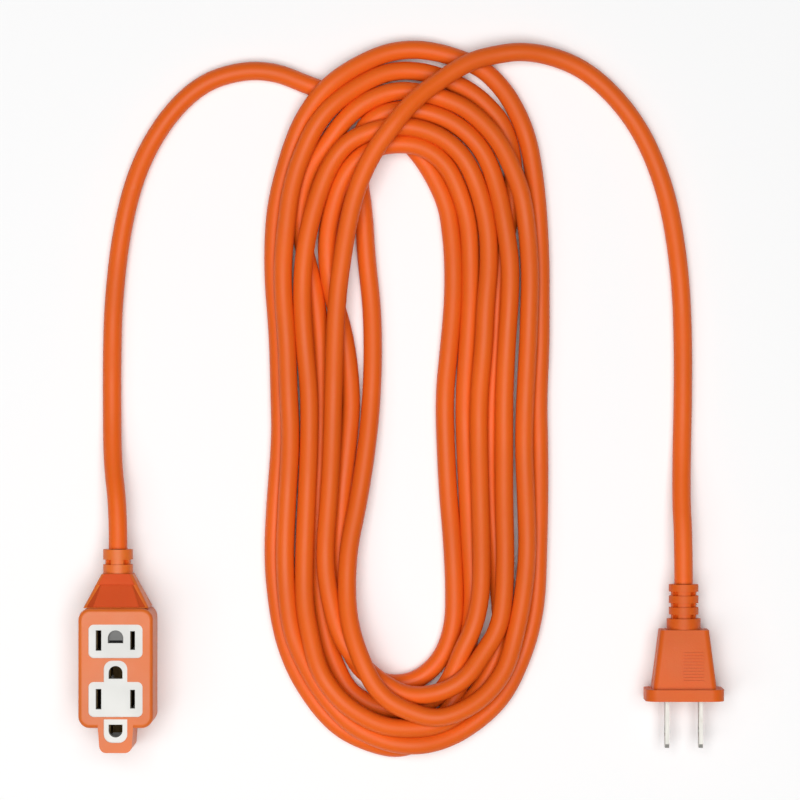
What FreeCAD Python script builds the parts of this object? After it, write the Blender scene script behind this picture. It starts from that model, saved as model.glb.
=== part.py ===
import FreeCAD, Part
import Sketcher
import math
import os
from FreeCAD import Placement, Rotation, Vector

# A coiled extension cord that lies on a table: an outlet block at one end, seven flat oval turns
# of cord in two layers, and a two-blade plug at the other end.
# The origin is under the middle of the block. X runs across the block, Y along it and towards its
# cord, and Z up from the table. Every length is in millimetres.

SIZES = (
    ("cord_diameter", 7.0, "cord, across its sheath"),
    ("wire_diameter", 2.6, "insulated wire inside the cord"),
    ("strand_diameter", 1.6, "bare copper at the end of a wire"),
    ("wire_offset", 1.75, "wire axis from the cord axis"),
    ("jacket_width", 28.0, "block across the outlets"),
    ("jacket_height", 27.0, "block from the table to its face"),
    ("jacket_wall", 2.2, "orange jacket over the core"),
    ("corner_radius", 4.4, "upright corners of the block"),
    ("edge_radius", 1.6, "rim of the block face"),
    ("tab_length", 9.2, "end tab along the block"),
    ("body_length", 44.8, "block between tab and neck"),
    ("neck_length", 12.4, "tapered neck"),
    ("relief_length", 9.2, "strain relief on the block"),
    ("tab_width", 13.2, "end tab where it leaves the block"),
    ("tab_tip_width", 11.8, "end tab at its tip"),
    ("tab_corner_radius", 2.6, "upright corners of the end tab"),
    ("tab_core_width", 10.2, "core inside the end tab"),
    ("neck_side_step", 1.7, "neck in from each side of the block"),
    ("neck_top_step", 2.5, "neck in from the face and the back of the block"),
    ("neck_tip", 11.8, "neck at the strain relief, square"),
    ("neck_edge_radius", 1.2, "long edges of the neck"),
    ("ring_diameter", 11.2, "rings of the strain reliefs"),
    ("sleeve_diameter", 9.6, "sleeve between the rings"),
    ("ring_gap", 1.9, "gap between two rings of the block relief"),
    ("end_ring", 3.8, "outer ring of the block relief"),
    ("window_width", 2.6, "window between two rings"),
    ("cord_hold", 13.4, "cord held inside the block"),
    ("split_height", 12.4, "joint between the two core halves"),
    ("floor_thickness", 1.9, "floor of the rear core half"),
    ("face_recess", 0.4, "white faces below the jacket"),
    ("face_thickness", 4.1, "white faces over the contact chambers"),
    ("face_width", 20.2, "white outlet faces"),
    ("face_corner", 2.0, "corners of the white faces"),
    ("upper_face_length", 12.5, "upper white face"),
    ("upper_face_y", 3.9, "middle of the upper white face"),
    ("lower_face_length", 13.1, "lower white face"),
    ("lower_face_y", -17.8, "middle of the lower white face"),
    ("collar_width", 8.8, "white collar round a ground hole"),
    ("collar_length", 8.8, "white collar round a ground hole"),
    ("collar_round", 3.2, "round end of a collar"),
    ("upper_outlet_y", 4.2, "blade slots of the upper outlet"),
    ("lower_outlet_y", -17.7, "blade slots of the lower outlet"),
    ("blade_spacing", 12.7, "between blade centres"),
    ("ground_offset", 11.9, "ground hole from the blade slots"),
    ("neutral_slot_width", 2.1, "neutral slot"),
    ("neutral_slot_length", 7.6, "neutral slot"),
    ("hot_slot_width", 1.8, "hot slot"),
    ("hot_slot_length", 7.0, "hot slot"),
    ("ground_width", 5.2, "ground hole, across"),
    ("ground_length", 4.8, "ground hole, along"),
    ("recess_width", 5.8, "blind recess between the upper slots"),
    ("recess_length", 4.8, "blind recess, along"),
    ("recess_depth", 2.4, "blind recess"),
    ("recess_y", 5.6, "middle of the blind recess"),
    ("channel_inner", 4.6, "contact channel from the middle"),
    ("channel_outer", 9.5, "contact channel from the middle"),
    ("channel_end_wall", 1.4, "core wall at the closed end of a channel"),
    ("ground_chamber_half", 3.5, "half the ground chamber"),
    ("ground_chamber_top_y", -4.4, "ground chamber, end near the cord"),
    ("wiring_length", 4.6, "wiring chamber along the block"),
    ("clip_gap", 1.7, "between the leaves of a blade contact"),
    ("clip_sheet", 0.5, "contact sheet"),
    ("clip_length", 7.0, "blade contact along the block"),
    ("clip_headroom", 1.4, "blade contact below the ceiling of its channel"),
    ("clip_tab", 3.6, "riveted tab of a blade contact"),
    ("bus_sheet", 0.8, "bus bar sheet"),
    ("bus_height", 5.0, "bus bar, upright"),
    ("bus_crimp_length", 3.6, "crimp on a bus bar or blade"),
    ("crimp_size", 3.0, "crimp, square outside"),
    ("crimp_room", 0.4, "crimp from the wall of the wiring chamber"),
    ("rivet_diameter", 2.0, "rivet shank"),
    ("rivet_head", 3.2, "rivet head"),
    ("rivet_head_height", 0.6, "rivet head"),
    ("ground_clip_gap", 4.9, "between the leaves of a ground contact"),
    ("ground_clip_length", 4.6, "ground contact along the block"),
    ("ground_clip_headroom", 3.9, "ground contact below the ceiling of its chamber"),
    ("ground_strap_width", 4.4, "strap between the ground contacts"),
    ("plug_x", 213.2, "plug axis"),
    ("plug_exit_y", 24.5, "cord exit of the plug"),
    ("plug_ring", 2.7, "ring of the plug relief"),
    ("plug_ring_gap", 1.6, "gap between two rings of the plug relief"),
    ("plug_base_ring", 4.1, "last ring of the plug relief"),
    ("plug_base_diameter", 12.8, "last ring of the plug relief"),
    ("plug_body_length", 22.2, "plug grip"),
    ("plug_shoulder_width", 18.4, "plug grip at the relief"),
    ("plug_shoulder_height", 14.2, "plug grip at the relief"),
    ("plug_body_width", 24.0, "plug grip at the flange"),
    ("plug_body_height", 17.4, "plug grip at the flange"),
    ("plug_edge_radius", 2.2, "long edges of the plug grip"),
    ("flange_length", 4.4, "plug flange along the plug"),
    ("flange_width", 29.5, "plug flange across the blades"),
    ("flange_height", 22.0, "plug flange, upright"),
    ("flange_corner", 5.0, "plug flange corners"),
    ("plug_front_wall", 1.6, "plug front over the bridge"),
    ("bridge_length", 8.0, "blade bridge along the plug"),
    ("bridge_width", 18.0, "blade bridge across the blades"),
    ("bridge_height", 10.0, "blade bridge, upright"),
    ("blade_length", 18.0, "blade outside the plug"),
    ("blade_width", 6.35, "blade, upright"),
    ("blade_thickness", 1.5, "blade sheet"),
    ("blade_chamfer", 1.5, "corners of the blade tip"),
    ("blade_hole_diameter", 4.0, "hole near the blade tip"),
    ("blade_hole_distance", 11.9, "blade hole from the plug front"),
    ("blade_tail_height", 3.0, "blade tail under the crimp"),
    ("plug_cord_hold", 22.0, "cord held inside the plug"),
    ("wire_room", 0.3, "room round a wire in its chamber"),
    ("grip_ridge_height", 0.5, "grip ridge over the plug top"),
    ("grip_ridge_thickness", 0.5, "grip ridge along the plug"),
    ("grip_ridge_pitch", 1.15, "between two grip ridges"),
    ("grip_ridge_width", 7.6, "grip ridge across the plug"),
    ("grip_ridge_side", 0.6, "grip ridges past the plug axis on the other side"),
    ("grip_start", 8.4, "first grip ridge from the relief"),
    ("coil_x", 109.3, "middle of the coil"),
    ("coil_y", 92.05, "middle of the coil"),
    ("coil_half_width", 53.8, "outermost turn, to the cord axis"),
    ("coil_half_length", 133.8, "outermost turn, to the cord axis"),
    ("coil_step_x", 12.17, "between two turns, across"),
    ("coil_step_y", 8.44, "between two turns, along"),
    ("coil_layer_room", 0.5, "gap between the two layers"),
    ("coil_end_fullness", 0.93, "share of the half width that an end curve takes"),
)

COIL_TURNS = 7
GRIP_RIDGES = 10
PLUG_GAPS = 3
WIRE_STRAIGHT_SHARE = 0.28
ROUTE_ARC_SHARE = 0.45
VOLUME_TOLERANCE = 0.005
GAP_STEP = 3.0
WINDOW_ANGLES = (45, 135)
# Where the points of a sketch stand until their expressions place them.
SEED_RADIUS = 30.0
SEED_CENTRE = Vector(5, 5, 0)

# The route of the cord from the block to the coil, and from the coil to the plug, chosen by hand.
BLOCK_ROUTE = (
    (0.0, 37.8, 13.5),
    (0.0, 54.0, 13.5),
    (-1.5, 76.0, 8.2),
    (-3.0, 101.0, 4.4),
    (-2.6, 128.0, 3.5),
    (0.6, 157.0, 3.5),
    (8.6, 184.0, 3.5),
    (24.0, 207.0, 3.5),
    (49.0, 221.6, 3.5),
    (78.0, 225.85, 3.5),
    (102.3, 225.85, 3.5),
)
PLUG_ROUTE = (
    (116.3, 225.85, 11.0),
    (139.0, 225.85, 11.0),
    (165.0, 222.8, 6.2),
    (186.0, 210.4, 3.5),
    (200.5, 189.0, 3.5),
    (208.0, 163.0, 3.5),
    (212.0, 132.0, 3.5),
    (213.8, 100.0, 3.5),
    (213.6, 69.0, 6.0),
    (213.2, 43.5, 11.0),
    (213.2, 24.5, 11.0),
)

doc = FreeCAD.newDocument("extension_cord")
sheet = doc.addObject("Spreadsheet::Sheet", "Sizes")
for row, (alias, number, meaning) in enumerate(SIZES, start=1):
    sheet.set(f"A{row}", meaning)
    sheet.set(f"B{row}", str(number))
    sheet.setAlias(f"B{row}", alias)
doc.recompute()

pieces = []


def size(alias):
    return float(sheet.get(alias))


# Places along the block, each worked out from the sheet.
TAB_END = "(-(Sizes.tab_length + Sizes.body_length + Sizes.neck_length + Sizes.relief_length) / 2)"
BODY_START = f"({TAB_END} + Sizes.tab_length)"
BODY_END = f"({BODY_START} + Sizes.body_length)"
NECK_END = f"({BODY_END} + Sizes.neck_length)"
RELIEF_END = f"({NECK_END} + Sizes.relief_length)"
CORE_START = f"({BODY_START} + Sizes.jacket_wall)"
CORE_END = f"({BODY_END} - Sizes.jacket_wall)"
CORE_TAB_END = f"({TAB_END} + Sizes.jacket_wall)"
CORE_HALF = "(Sizes.jacket_width / 2 - Sizes.jacket_wall)"
CORE_TOP = "(Sizes.jacket_height - Sizes.jacket_wall)"
FACE_TOP = "(Sizes.jacket_height - Sizes.face_recess)"
CHANNEL_TOP = f"({FACE_TOP} - Sizes.face_thickness)"
CORE_FLOOR = "(Sizes.jacket_wall + Sizes.floor_thickness)"
AXIS = "(Sizes.jacket_height / 2)"
NECK_WIDTH = "(Sizes.jacket_width - 2 * Sizes.neck_side_step)"
NECK_HEIGHT = "(Sizes.jacket_height - 2 * Sizes.neck_top_step)"
WIRING_START = f"({CORE_END} - Sizes.wiring_length)"
CORD_END = f"({RELIEF_END} - Sizes.cord_hold)"
UPPER_GROUND_Y = "(Sizes.upper_outlet_y - Sizes.ground_offset)"
LOWER_GROUND_Y = "(Sizes.lower_outlet_y - Sizes.ground_offset)"
LEAF_OUTSIDE = "(Sizes.blade_spacing / 2 + Sizes.clip_gap / 2 + Sizes.clip_sheet)"
CRIMP_X = f"({LEAF_OUTSIDE} - Sizes.crimp_size / 2)"
CRIMP_TOP = f"({WIRING_START} + Sizes.crimp_room + Sizes.bus_crimp_length)"

# Places along the plug, in its own frame: Y is 0 at the cord exit and falls towards the blades.
PLUG_SHOULDER = f"(-{PLUG_GAPS} * (Sizes.plug_ring + Sizes.plug_ring_gap) - Sizes.plug_base_ring)"
FLANGE_BACK = f"({PLUG_SHOULDER} - Sizes.plug_body_length)"
PLUG_FRONT = f"({FLANGE_BACK} - Sizes.flange_length)"
BRIDGE_FRONT = f"({PLUG_FRONT} + Sizes.plug_front_wall)"
BRIDGE_BACK = f"({BRIDGE_FRONT} + Sizes.bridge_length)"
BLADE_TAIL_END = f"({BRIDGE_BACK} + Sizes.bus_crimp_length)"
PLUG_CRIMP_X = "(Sizes.blade_spacing / 2 - Sizes.blade_thickness / 2 - Sizes.crimp_size / 2)"


def add_body(name):
    body = doc.addObject("PartDesign::Body", name)
    body.Label = name
    pieces.append(body)
    return body


def sketch_on(body, name, role, offset):
    plane = next(item for item in body.Origin.OriginFeatures if item.Role == role)
    sketch = body.newObject("Sketcher::SketchObject", name)
    sketch.AttachmentSupport = [(plane, "")]
    sketch.MapMode = "FlatFace"
    sketch.setExpression("AttachmentOffset.Base.z", offset)
    return sketch


def pin_point(sketch, geometry, position, seed, x, y):
    for kind, start, text in (("DistanceX", seed.x, x), ("DistanceY", seed.y, y)):
        constraint = Sketcher.Constraint(kind, -1, 1, geometry, position, start)
        index = sketch.addConstraint(constraint)
        sketch.setExpression(f"Constraints[{index}]", text)


def outline(sketch, corners):
    """Draw a closed outline; each corner is a pair of expressions."""
    count = len(corners)
    first = sketch.GeometryCount
    seeds = []
    for index in range(count):
        turn = 2 * math.pi * index / count + 0.3
        seeds.append(Vector(math.cos(turn), math.sin(turn), 0) * SEED_RADIUS)
    for index in range(count):
        line = Part.LineSegment(seeds[index], seeds[(index + 1) % count])
        sketch.addGeometry(line, False)
    for index in range(count):
        following = first + (index + 1) % count
        sketch.addConstraint(Sketcher.Constraint("Coincident", first + index, 2, following, 1))
    for index, (x, y) in enumerate(corners):
        pin_point(sketch, first + index, 1, seeds[index], x, y)


def rectangle(sketch, left, right, low, high):
    outline(sketch, ((left, low), (right, low), (right, high), (left, high)))


def circle(sketch, x, y, diameter):
    geometry = sketch.addGeometry(Part.Circle(SEED_CENTRE, Vector(0, 0, 1), 2), False)
    pin_point(sketch, geometry, 3, SEED_CENTRE, x, y)
    index = sketch.addConstraint(Sketcher.Constraint("Diameter", geometry, 4))
    sketch.setExpression(f"Constraints[{index}]", diameter)


def pad(body, name, sketch, length, backwards=False):
    feature = body.newObject("PartDesign::Pad", name)
    feature.Profile = sketch
    feature.setExpression("Length", length)
    feature.Reversed = backwards
    doc.recompute()
    return feature


def pocket(body, name, sketch, length, backwards=False):
    before = body.Shape.Volume
    feature = body.newObject("PartDesign::Pocket", name)
    feature.Profile = sketch
    feature.setExpression("Length", length)
    feature.Reversed = backwards
    doc.recompute()
    if not body.Shape.Volume < before:
        raise RuntimeError(f"{name} cut nothing")
    return feature


def loft(body, name, sections):
    feature = body.newObject("PartDesign::AdditiveLoft", name)
    feature.Profile = sections[0]
    feature.Sections = sections[1:]
    feature.Ruled = True
    doc.recompute()
    return feature


def revolve(body, name, sketch):
    feature = body.newObject("PartDesign::Revolution", name)
    feature.Profile = sketch
    feature.ReferenceAxis = (sketch, ["V_Axis"])
    feature.Angle = 360
    doc.recompute()
    return feature


def place(feature, x, y, z):
    for axis, text in (("x", x), ("y", y), ("z", z)):
        feature.setExpression(f"Placement.Base.{axis}", text)


def box_feature(body, kind, name, spans):
    """Add or cut a box; spans are the low and high expressions of X, Y and Z."""
    feature = body.newObject(f"PartDesign::{kind}Box", name)
    for side, (low, high) in zip(("Length", "Width", "Height"), spans):
        feature.setExpression(side, f"({high}) - ({low})")
    place(feature, spans[0][0], spans[1][0], spans[2][0])
    doc.recompute()
    return feature


def rod_along_y(body, kind, name, diameter, x, low, high, z):
    """Add or cut a round rod that runs along Y."""
    feature = body.newObject(f"PartDesign::{kind}Cylinder", name)
    feature.setExpression("Radius", f"({diameter}) / 2")
    feature.setExpression("Height", f"({high}) - ({low})")
    feature.Placement = Placement(Vector(0, 0, 0), Rotation(Vector(1, 0, 0), 90))
    place(feature, x, high, z)
    doc.recompute()
    return feature


def rod_upright(body, kind, name, diameter, x, y, low, high):
    feature = body.newObject(f"PartDesign::{kind}Cylinder", name)
    feature.setExpression("Radius", f"({diameter}) / 2")
    feature.setExpression("Height", f"({high}) - ({low})")
    place(feature, x, y, low)
    doc.recompute()
    return feature


def round_edges(body, name, radius, chosen):
    edges = []
    for index, edge in enumerate(body.Shape.Edges, start=1):
        if chosen(edge):
            edges.append(f"Edge{index}")
    if not edges:
        raise RuntimeError(f"{name} found no edge")
    base = body.Tip
    feature = body.newObject("PartDesign::Fillet", name)
    feature.Base = (base, edges)
    feature.setExpression("Radius", radius)
    doc.recompute()
    return feature


def is_upright(edge):
    box = edge.BoundBox
    return box.XLength < 0.01 and box.YLength < 0.01


def relief_windows(body, name, low, high, axis_height):
    """Cut four windows through the sleeve, between two rings."""
    reach = "Sizes.ring_diameter"
    width = "Sizes.window_width"
    for angle in WINDOW_ANGLES:
        feature = body.newObject("PartDesign::SubtractiveBox", f"{name}_{angle}")
        feature.setExpression("Length", reach)
        feature.setExpression("Width", f"({high}) - ({low})")
        feature.setExpression("Height", width)
        feature.Placement = Placement(Vector(0, 0, 0), Rotation(Vector(0, 1, 0), angle))
        along = f"{reach} / 2 * cos({angle}deg) + {width} / 2 * sin({angle}deg)"
        across = f"{reach} / 2 * sin({angle}deg) - {width} / 2 * cos({angle}deg)"
        place(feature, f"-({along})", low, f"{axis_height} + {across}")
        doc.recompute()


def core_outline(sketch):
    half = CORE_HALF
    tab = "(Sizes.tab_core_width / 2)"
    outline(
        sketch,
        (
            (f"-{half}", CORE_END),
            (f"-{half}", CORE_START),
            (f"-{tab}", CORE_START),
            (f"-{tab}", CORE_TAB_END),
            (tab, CORE_TAB_END),
            (tab, CORE_START),
            (half, CORE_START),
            (half, CORE_END),
        ),
    )


def face_outlines(sketch):
    """Draw the three white faces that show through the jacket."""
    half = "(Sizes.face_width / 2)"
    collar = "(Sizes.collar_width / 2)"
    upper_low = "(Sizes.upper_face_y - Sizes.upper_face_length / 2)"
    upper_high = "(Sizes.upper_face_y + Sizes.upper_face_length / 2)"
    lower_low = "(Sizes.lower_face_y - Sizes.lower_face_length / 2)"
    lower_high = "(Sizes.lower_face_y + Sizes.lower_face_length / 2)"
    collar_high = f"({UPPER_GROUND_Y} + Sizes.collar_length / 2)"
    rectangle(sketch, f"-{half}", half, upper_low, upper_high)
    outline(
        sketch,
        (
            (f"-{half}", lower_low),
            (half, lower_low),
            (half, lower_high),
            (collar, lower_high),
            (collar, collar_high),
            (f"-{collar}", collar_high),
            (f"-{collar}", lower_high),
            (f"-{half}", lower_high),
        ),
    )
    end_low = f"({LOWER_GROUND_Y} - Sizes.collar_length / 2)"
    end_high = f"({LOWER_GROUND_Y} + Sizes.collar_length / 2)"
    rectangle(sketch, f"-{collar}", collar, end_low, end_high)


def round_faces(body, name, low):
    """Round the corners of the white faces, and more at the two collar ends."""
    upper_ground = size("upper_outlet_y") - size("ground_offset")
    lower_ground = size("lower_outlet_y") - size("ground_offset")
    collar_half = size("collar_length") / 2
    ends = (upper_ground + collar_half, lower_ground - collar_half)

    def in_faces(edge):
        box = edge.BoundBox
        if not is_upright(edge) or box.ZMin < low - 0.01:
            return False
        if abs(box.XMin) < size("collar_width") / 2 + 0.01:
            return False
        return abs(box.XMin) < size("face_width") / 2 + 0.01

    def at_collar_end(edge):
        box = edge.BoundBox
        if not is_upright(edge) or box.ZMin < low - 0.01:
            return False
        if abs(box.XMin) > size("collar_width") / 2 + 0.01:
            return False
        return min(abs(box.YMin - end) for end in ends) < 0.01

    round_edges(body, f"{name}_corners", "Sizes.face_corner", in_faces)
    round_edges(body, f"{name}_ends", "Sizes.collar_round", at_collar_end)


def chambers(sketch):
    """Draw the contact channels, wiring chamber and ground chamber in one outline each."""
    inner = "Sizes.channel_inner"
    outer = "Sizes.channel_outer"
    low = f"({CORE_START} + Sizes.channel_end_wall)"
    outline(
        sketch,
        (
            (f"-{outer}", low),
            (f"-{inner}", low),
            (f"-{inner}", WIRING_START),
            (inner, WIRING_START),
            (inner, low),
            (outer, low),
            (outer, CORE_END),
            (f"-{outer}", CORE_END),
        ),
    )
    half = "Sizes.ground_chamber_half"
    ground_low = f"({CORE_TAB_END} + Sizes.channel_end_wall)"
    rectangle(sketch, f"-{half}", half, ground_low, "Sizes.ground_chamber_top_y")


def cut_arched_hole(body, name, centre, width, length, arch_side, low, high):
    """Cut a hole with one flat end and one round end; arch_side is 1 when the round end is at +Y."""
    half = f"({width} / 2)"
    arch = f"({centre} + ({arch_side}) * ({length} / 2 - {half}))"
    flat = f"({centre} - ({arch_side}) * {length} / 2)"
    first = flat if arch_side > 0 else arch
    second = arch if arch_side > 0 else flat
    spans = ((f"-{half}", half), (first, second), (low, high))
    box_feature(body, "Subtractive", f"{name}_flat", spans)
    feature = body.newObject("PartDesign::SubtractiveCylinder", f"{name}_arch")
    feature.setExpression("Radius", half)
    feature.setExpression("Height", f"({high}) - ({low})")
    feature.Angle = 180
    half_turn = 0 if arch_side > 0 else 180
    feature.Placement = Placement(Vector(0, 0, 0), Rotation(Vector(0, 0, 1), half_turn))
    place(feature, "0", arch, low)
    doc.recompute()


# The orange jacket of the block, moulded over the white core.
def make_block_jacket():
    body = add_body("block_jacket")
    plan = sketch_on(body, "jacket_plan", "XY_Plane", "0")
    half = "(Sizes.jacket_width / 2)"
    rectangle(plan, f"-{half}", half, BODY_START, BODY_END)
    pad(body, "jacket_body", plan, "Sizes.jacket_height")
    round_edges(body, "jacket_corners", "Sizes.corner_radius", is_upright)

    def on_rim(edge):
        return edge.BoundBox.ZMin > size("jacket_height") - 0.01

    round_edges(body, "face_rim", "Sizes.edge_radius", on_rim)

    tab_plan = sketch_on(body, "tab_plan", "XY_Plane", "0")
    root = "(Sizes.tab_width / 2)"
    tip = "(Sizes.tab_tip_width / 2)"
    inside = f"({BODY_START} + Sizes.jacket_wall)"
    outline(
        tab_plan,
        (
            (f"-{tip}", TAB_END),
            (tip, TAB_END),
            (root, BODY_START),
            (root, inside),
            (f"-{root}", inside),
            (f"-{root}", BODY_START),
        ),
    )
    pad(body, "tab", tab_plan, "Sizes.jacket_height")
    tab_end = -(size("tab_length") + size("body_length") + size("neck_length") + size("relief_length")) / 2

    def at_tab_tip(edge):
        return is_upright(edge) and abs(edge.BoundBox.YMin - tab_end) < 0.01

    round_edges(body, "tab_corners", "Sizes.tab_corner_radius", at_tab_tip)

    sections = []
    for name, place_y, width, height in (
        ("neck_root", BODY_END, NECK_WIDTH, NECK_HEIGHT),
        ("neck_tip_section", NECK_END, "Sizes.neck_tip", "Sizes.neck_tip"),
    ):
        section = sketch_on(body, name, "XZ_Plane", f"-{place_y}")
        low = f"({AXIS} - {height} / 2)"
        high = f"({AXIS} + {height} / 2)"
        rectangle(section, f"-{width} / 2", f"{width} / 2", low, high)
        sections.append(section)
    loft(body, "neck", sections)

    def on_neck(edge):
        box = edge.BoundBox
        tapered = box.XLength > 0.01 and box.ZLength > 0.01
        return tapered and box.YLength > size("neck_length") - 0.01

    round_edges(body, "neck_edges", "Sizes.neck_edge_radius", on_neck)

    profile = sketch_on(body, "relief_profile", "XY_Plane", AXIS)
    bore = "(Sizes.cord_diameter / 2)"
    ring = "(Sizes.ring_diameter / 2)"
    sleeve = "(Sizes.sleeve_diameter / 2)"
    gap_high = f"({RELIEF_END} - Sizes.end_ring)"
    gap_low = f"({gap_high} - Sizes.ring_gap)"
    outline(
        profile,
        (
            (bore, NECK_END),
            (ring, NECK_END),
            (ring, gap_low),
            (sleeve, gap_low),
            (sleeve, gap_high),
            (ring, gap_high),
            (ring, RELIEF_END),
            (bore, RELIEF_END),
        ),
    )
    revolve(body, "relief", profile)
    relief_windows(body, "relief_window", gap_low, gap_high, AXIS)
    rod_along_y(
        body, "Subtractive", "cord_bore", "Sizes.cord_diameter", "0", CORD_END, NECK_END, AXIS
    )

    void = sketch_on(body, "core_void_plan", "XY_Plane", CORE_TOP)
    core_outline(void)
    pocket(body, "core_void", void, f"{CORE_TOP} - Sizes.jacket_wall")
    faces = sketch_on(body, "face_window_plan", "XY_Plane", "Sizes.jacket_height")
    face_outlines(faces)
    pocket(body, "face_windows", faces, "Sizes.jacket_wall")
    round_faces(body, "window", size("jacket_height") - size("jacket_wall"))

    wire_half = "(Sizes.wire_diameter / 2 + Sizes.wire_room)"
    wide = f"({CRIMP_X} + {wire_half})"
    narrow = f"(Sizes.wire_offset + {wire_half})"
    upright = (f"{AXIS} - {wire_half}", f"{AXIS} + {wire_half}")
    bend = f"({CORD_END} - Sizes.wire_diameter)"
    box_feature(body, "Subtractive", "wire_room_wide", ((f"-{wide}", wide), (CORE_END, bend), upright))
    box_feature(
        body, "Subtractive", "wire_room_narrow", ((f"-{narrow}", narrow), (bend, CORD_END), upright)
    )
    return body


# The white front half of the core, whose three faces carry the slots and holes.
def make_front_core():
    body = add_body("block_front_core")
    plan = sketch_on(body, "front_plan", "XY_Plane", "Sizes.split_height")
    core_outline(plan)
    pad(body, "front_plate", plan, f"{CORE_TOP} - Sizes.split_height")
    faces = sketch_on(body, "face_plan", "XY_Plane", CORE_TOP)
    face_outlines(faces)
    pad(body, "faces", faces, f"{FACE_TOP} - {CORE_TOP}")
    round_faces(body, "face", size("jacket_height") - size("jacket_wall"))

    hollow = sketch_on(body, "front_chamber_plan", "XY_Plane", "Sizes.split_height")
    chambers(hollow)
    pocket(body, "front_chambers", hollow, f"{CHANNEL_TOP} - Sizes.split_height", backwards=True)

    slots = sketch_on(body, "slot_plan", "XY_Plane", FACE_TOP)
    for outlet in ("Sizes.upper_outlet_y", "Sizes.lower_outlet_y"):
        for side, pole in ((-1, "neutral"), (1, "hot")):
            middle = f"({side} * Sizes.blade_spacing / 2)"
            half = f"(Sizes.{pole}_slot_width / 2)"
            reach = f"(Sizes.{pole}_slot_length / 2)"
            sides = (f"{middle} - {half}", f"{middle} + {half}")
            ends = (f"{outlet} - {reach}", f"{outlet} + {reach}")
            rectangle(slots, *sides, *ends)
    pocket(body, "slots", slots, "Sizes.face_thickness")

    for name, centre, side in (("upper_ground", UPPER_GROUND_Y, 1), ("lower_ground", LOWER_GROUND_Y, -1)):
        cut_arched_hole(
            body, name, centre, "Sizes.ground_width", "Sizes.ground_length", side, CHANNEL_TOP, FACE_TOP
        )
    floor = f"({FACE_TOP} - Sizes.recess_depth)"
    cut_arched_hole(
        body, "recess", "Sizes.recess_y", "Sizes.recess_width", "Sizes.recess_length", 1, floor, FACE_TOP
    )
    return body


# The white rear half of the core, which holds the contacts up against the faces.
def make_rear_core():
    body = add_body("block_rear_core")
    plan = sketch_on(body, "rear_plan", "XY_Plane", "Sizes.jacket_wall")
    core_outline(plan)
    pad(body, "rear_plate", plan, "Sizes.split_height - Sizes.jacket_wall")
    hollow = sketch_on(body, "rear_chamber_plan", "XY_Plane", "Sizes.split_height")
    chambers(hollow)
    pocket(body, "rear_chambers", hollow, f"Sizes.split_height - {CORE_FLOOR}")
    return body


def clip_tab_start(outlet):
    return f"({outlet} - Sizes.clip_length / 2 - Sizes.clip_tab)"


def clip_tab_middle(outlet):
    return f"({clip_tab_start(outlet)} + Sizes.clip_tab / 2)"


OUTLETS = (("upper", "Sizes.upper_outlet_y"), ("lower", "Sizes.lower_outlet_y"))
SIDES = (("neutral", -1), ("hot", 1))


# One bus bar for each pole, riveted to the two blade contacts on its side.
def make_bus(pole, side):
    body = add_body(f"block_{pole}_bus")
    inner = LEAF_OUTSIDE if side > 0 else f"(-{LEAF_OUTSIDE} - Sizes.bus_sheet)"
    plan = sketch_on(body, f"{pole}_bus_plan", "YZ_Plane", inner)
    low = clip_tab_start("Sizes.lower_outlet_y")
    half = "(Sizes.bus_height / 2)"
    rectangle(plan, low, CRIMP_TOP, f"{AXIS} - {half}", f"{AXIS} + {half}")
    for _, outlet in OUTLETS:
        circle(plan, clip_tab_middle(outlet), AXIS, "Sizes.rivet_diameter")
    pad(body, f"{pole}_bus_bar", plan, "Sizes.bus_sheet")
    return body


def channel_section(sketch, middle, gap, sheet_size, low, top):
    """Draw a U section that opens upwards."""
    inner = f"({gap} / 2)"
    outer = f"({gap} / 2 + {sheet_size})"
    web = f"({low} + {sheet_size})"
    outline(
        sketch,
        (
            (f"{middle} - {outer}", low),
            (f"{middle} + {outer}", low),
            (f"{middle} + {outer}", top),
            (f"{middle} + {inner}", top),
            (f"{middle} + {inner}", web),
            (f"{middle} - {inner}", web),
            (f"{middle} - {inner}", top),
            (f"{middle} - {outer}", top),
        ),
    )


# A blade contact: a brass channel under its slot, with a riveted tab beside it.
def make_blade_clip(pole, side, outlet_name, outlet):
    name = f"block_{pole}_contact_{outlet_name}"
    body = add_body(name)
    start = f"({outlet} + Sizes.clip_length / 2)"
    section = sketch_on(body, f"{name}_section", "XZ_Plane", f"-{start}")
    middle = f"({side} * Sizes.blade_spacing / 2)"
    top = f"({CHANNEL_TOP} - Sizes.clip_headroom)"
    channel_section(section, middle, "Sizes.clip_gap", "Sizes.clip_sheet", CORE_FLOOR, top)
    pad(body, f"{name}_channel", section, "Sizes.clip_length")
    inner = f"({LEAF_OUTSIDE} - Sizes.clip_sheet)" if side > 0 else f"(-{LEAF_OUTSIDE})"
    tab = sketch_on(body, f"{name}_tab_plan", "YZ_Plane", inner)
    half = "(Sizes.bus_height / 2)"
    tab_start = clip_tab_start(outlet)
    tab_end = f"({tab_start} + Sizes.clip_tab)"
    rectangle(tab, tab_start, tab_end, f"{AXIS} - {half}", f"{AXIS} + {half}")
    circle(tab, clip_tab_middle(outlet), AXIS, "Sizes.rivet_diameter")
    pad(body, f"{name}_tab", tab, "Sizes.clip_sheet")
    return body


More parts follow.
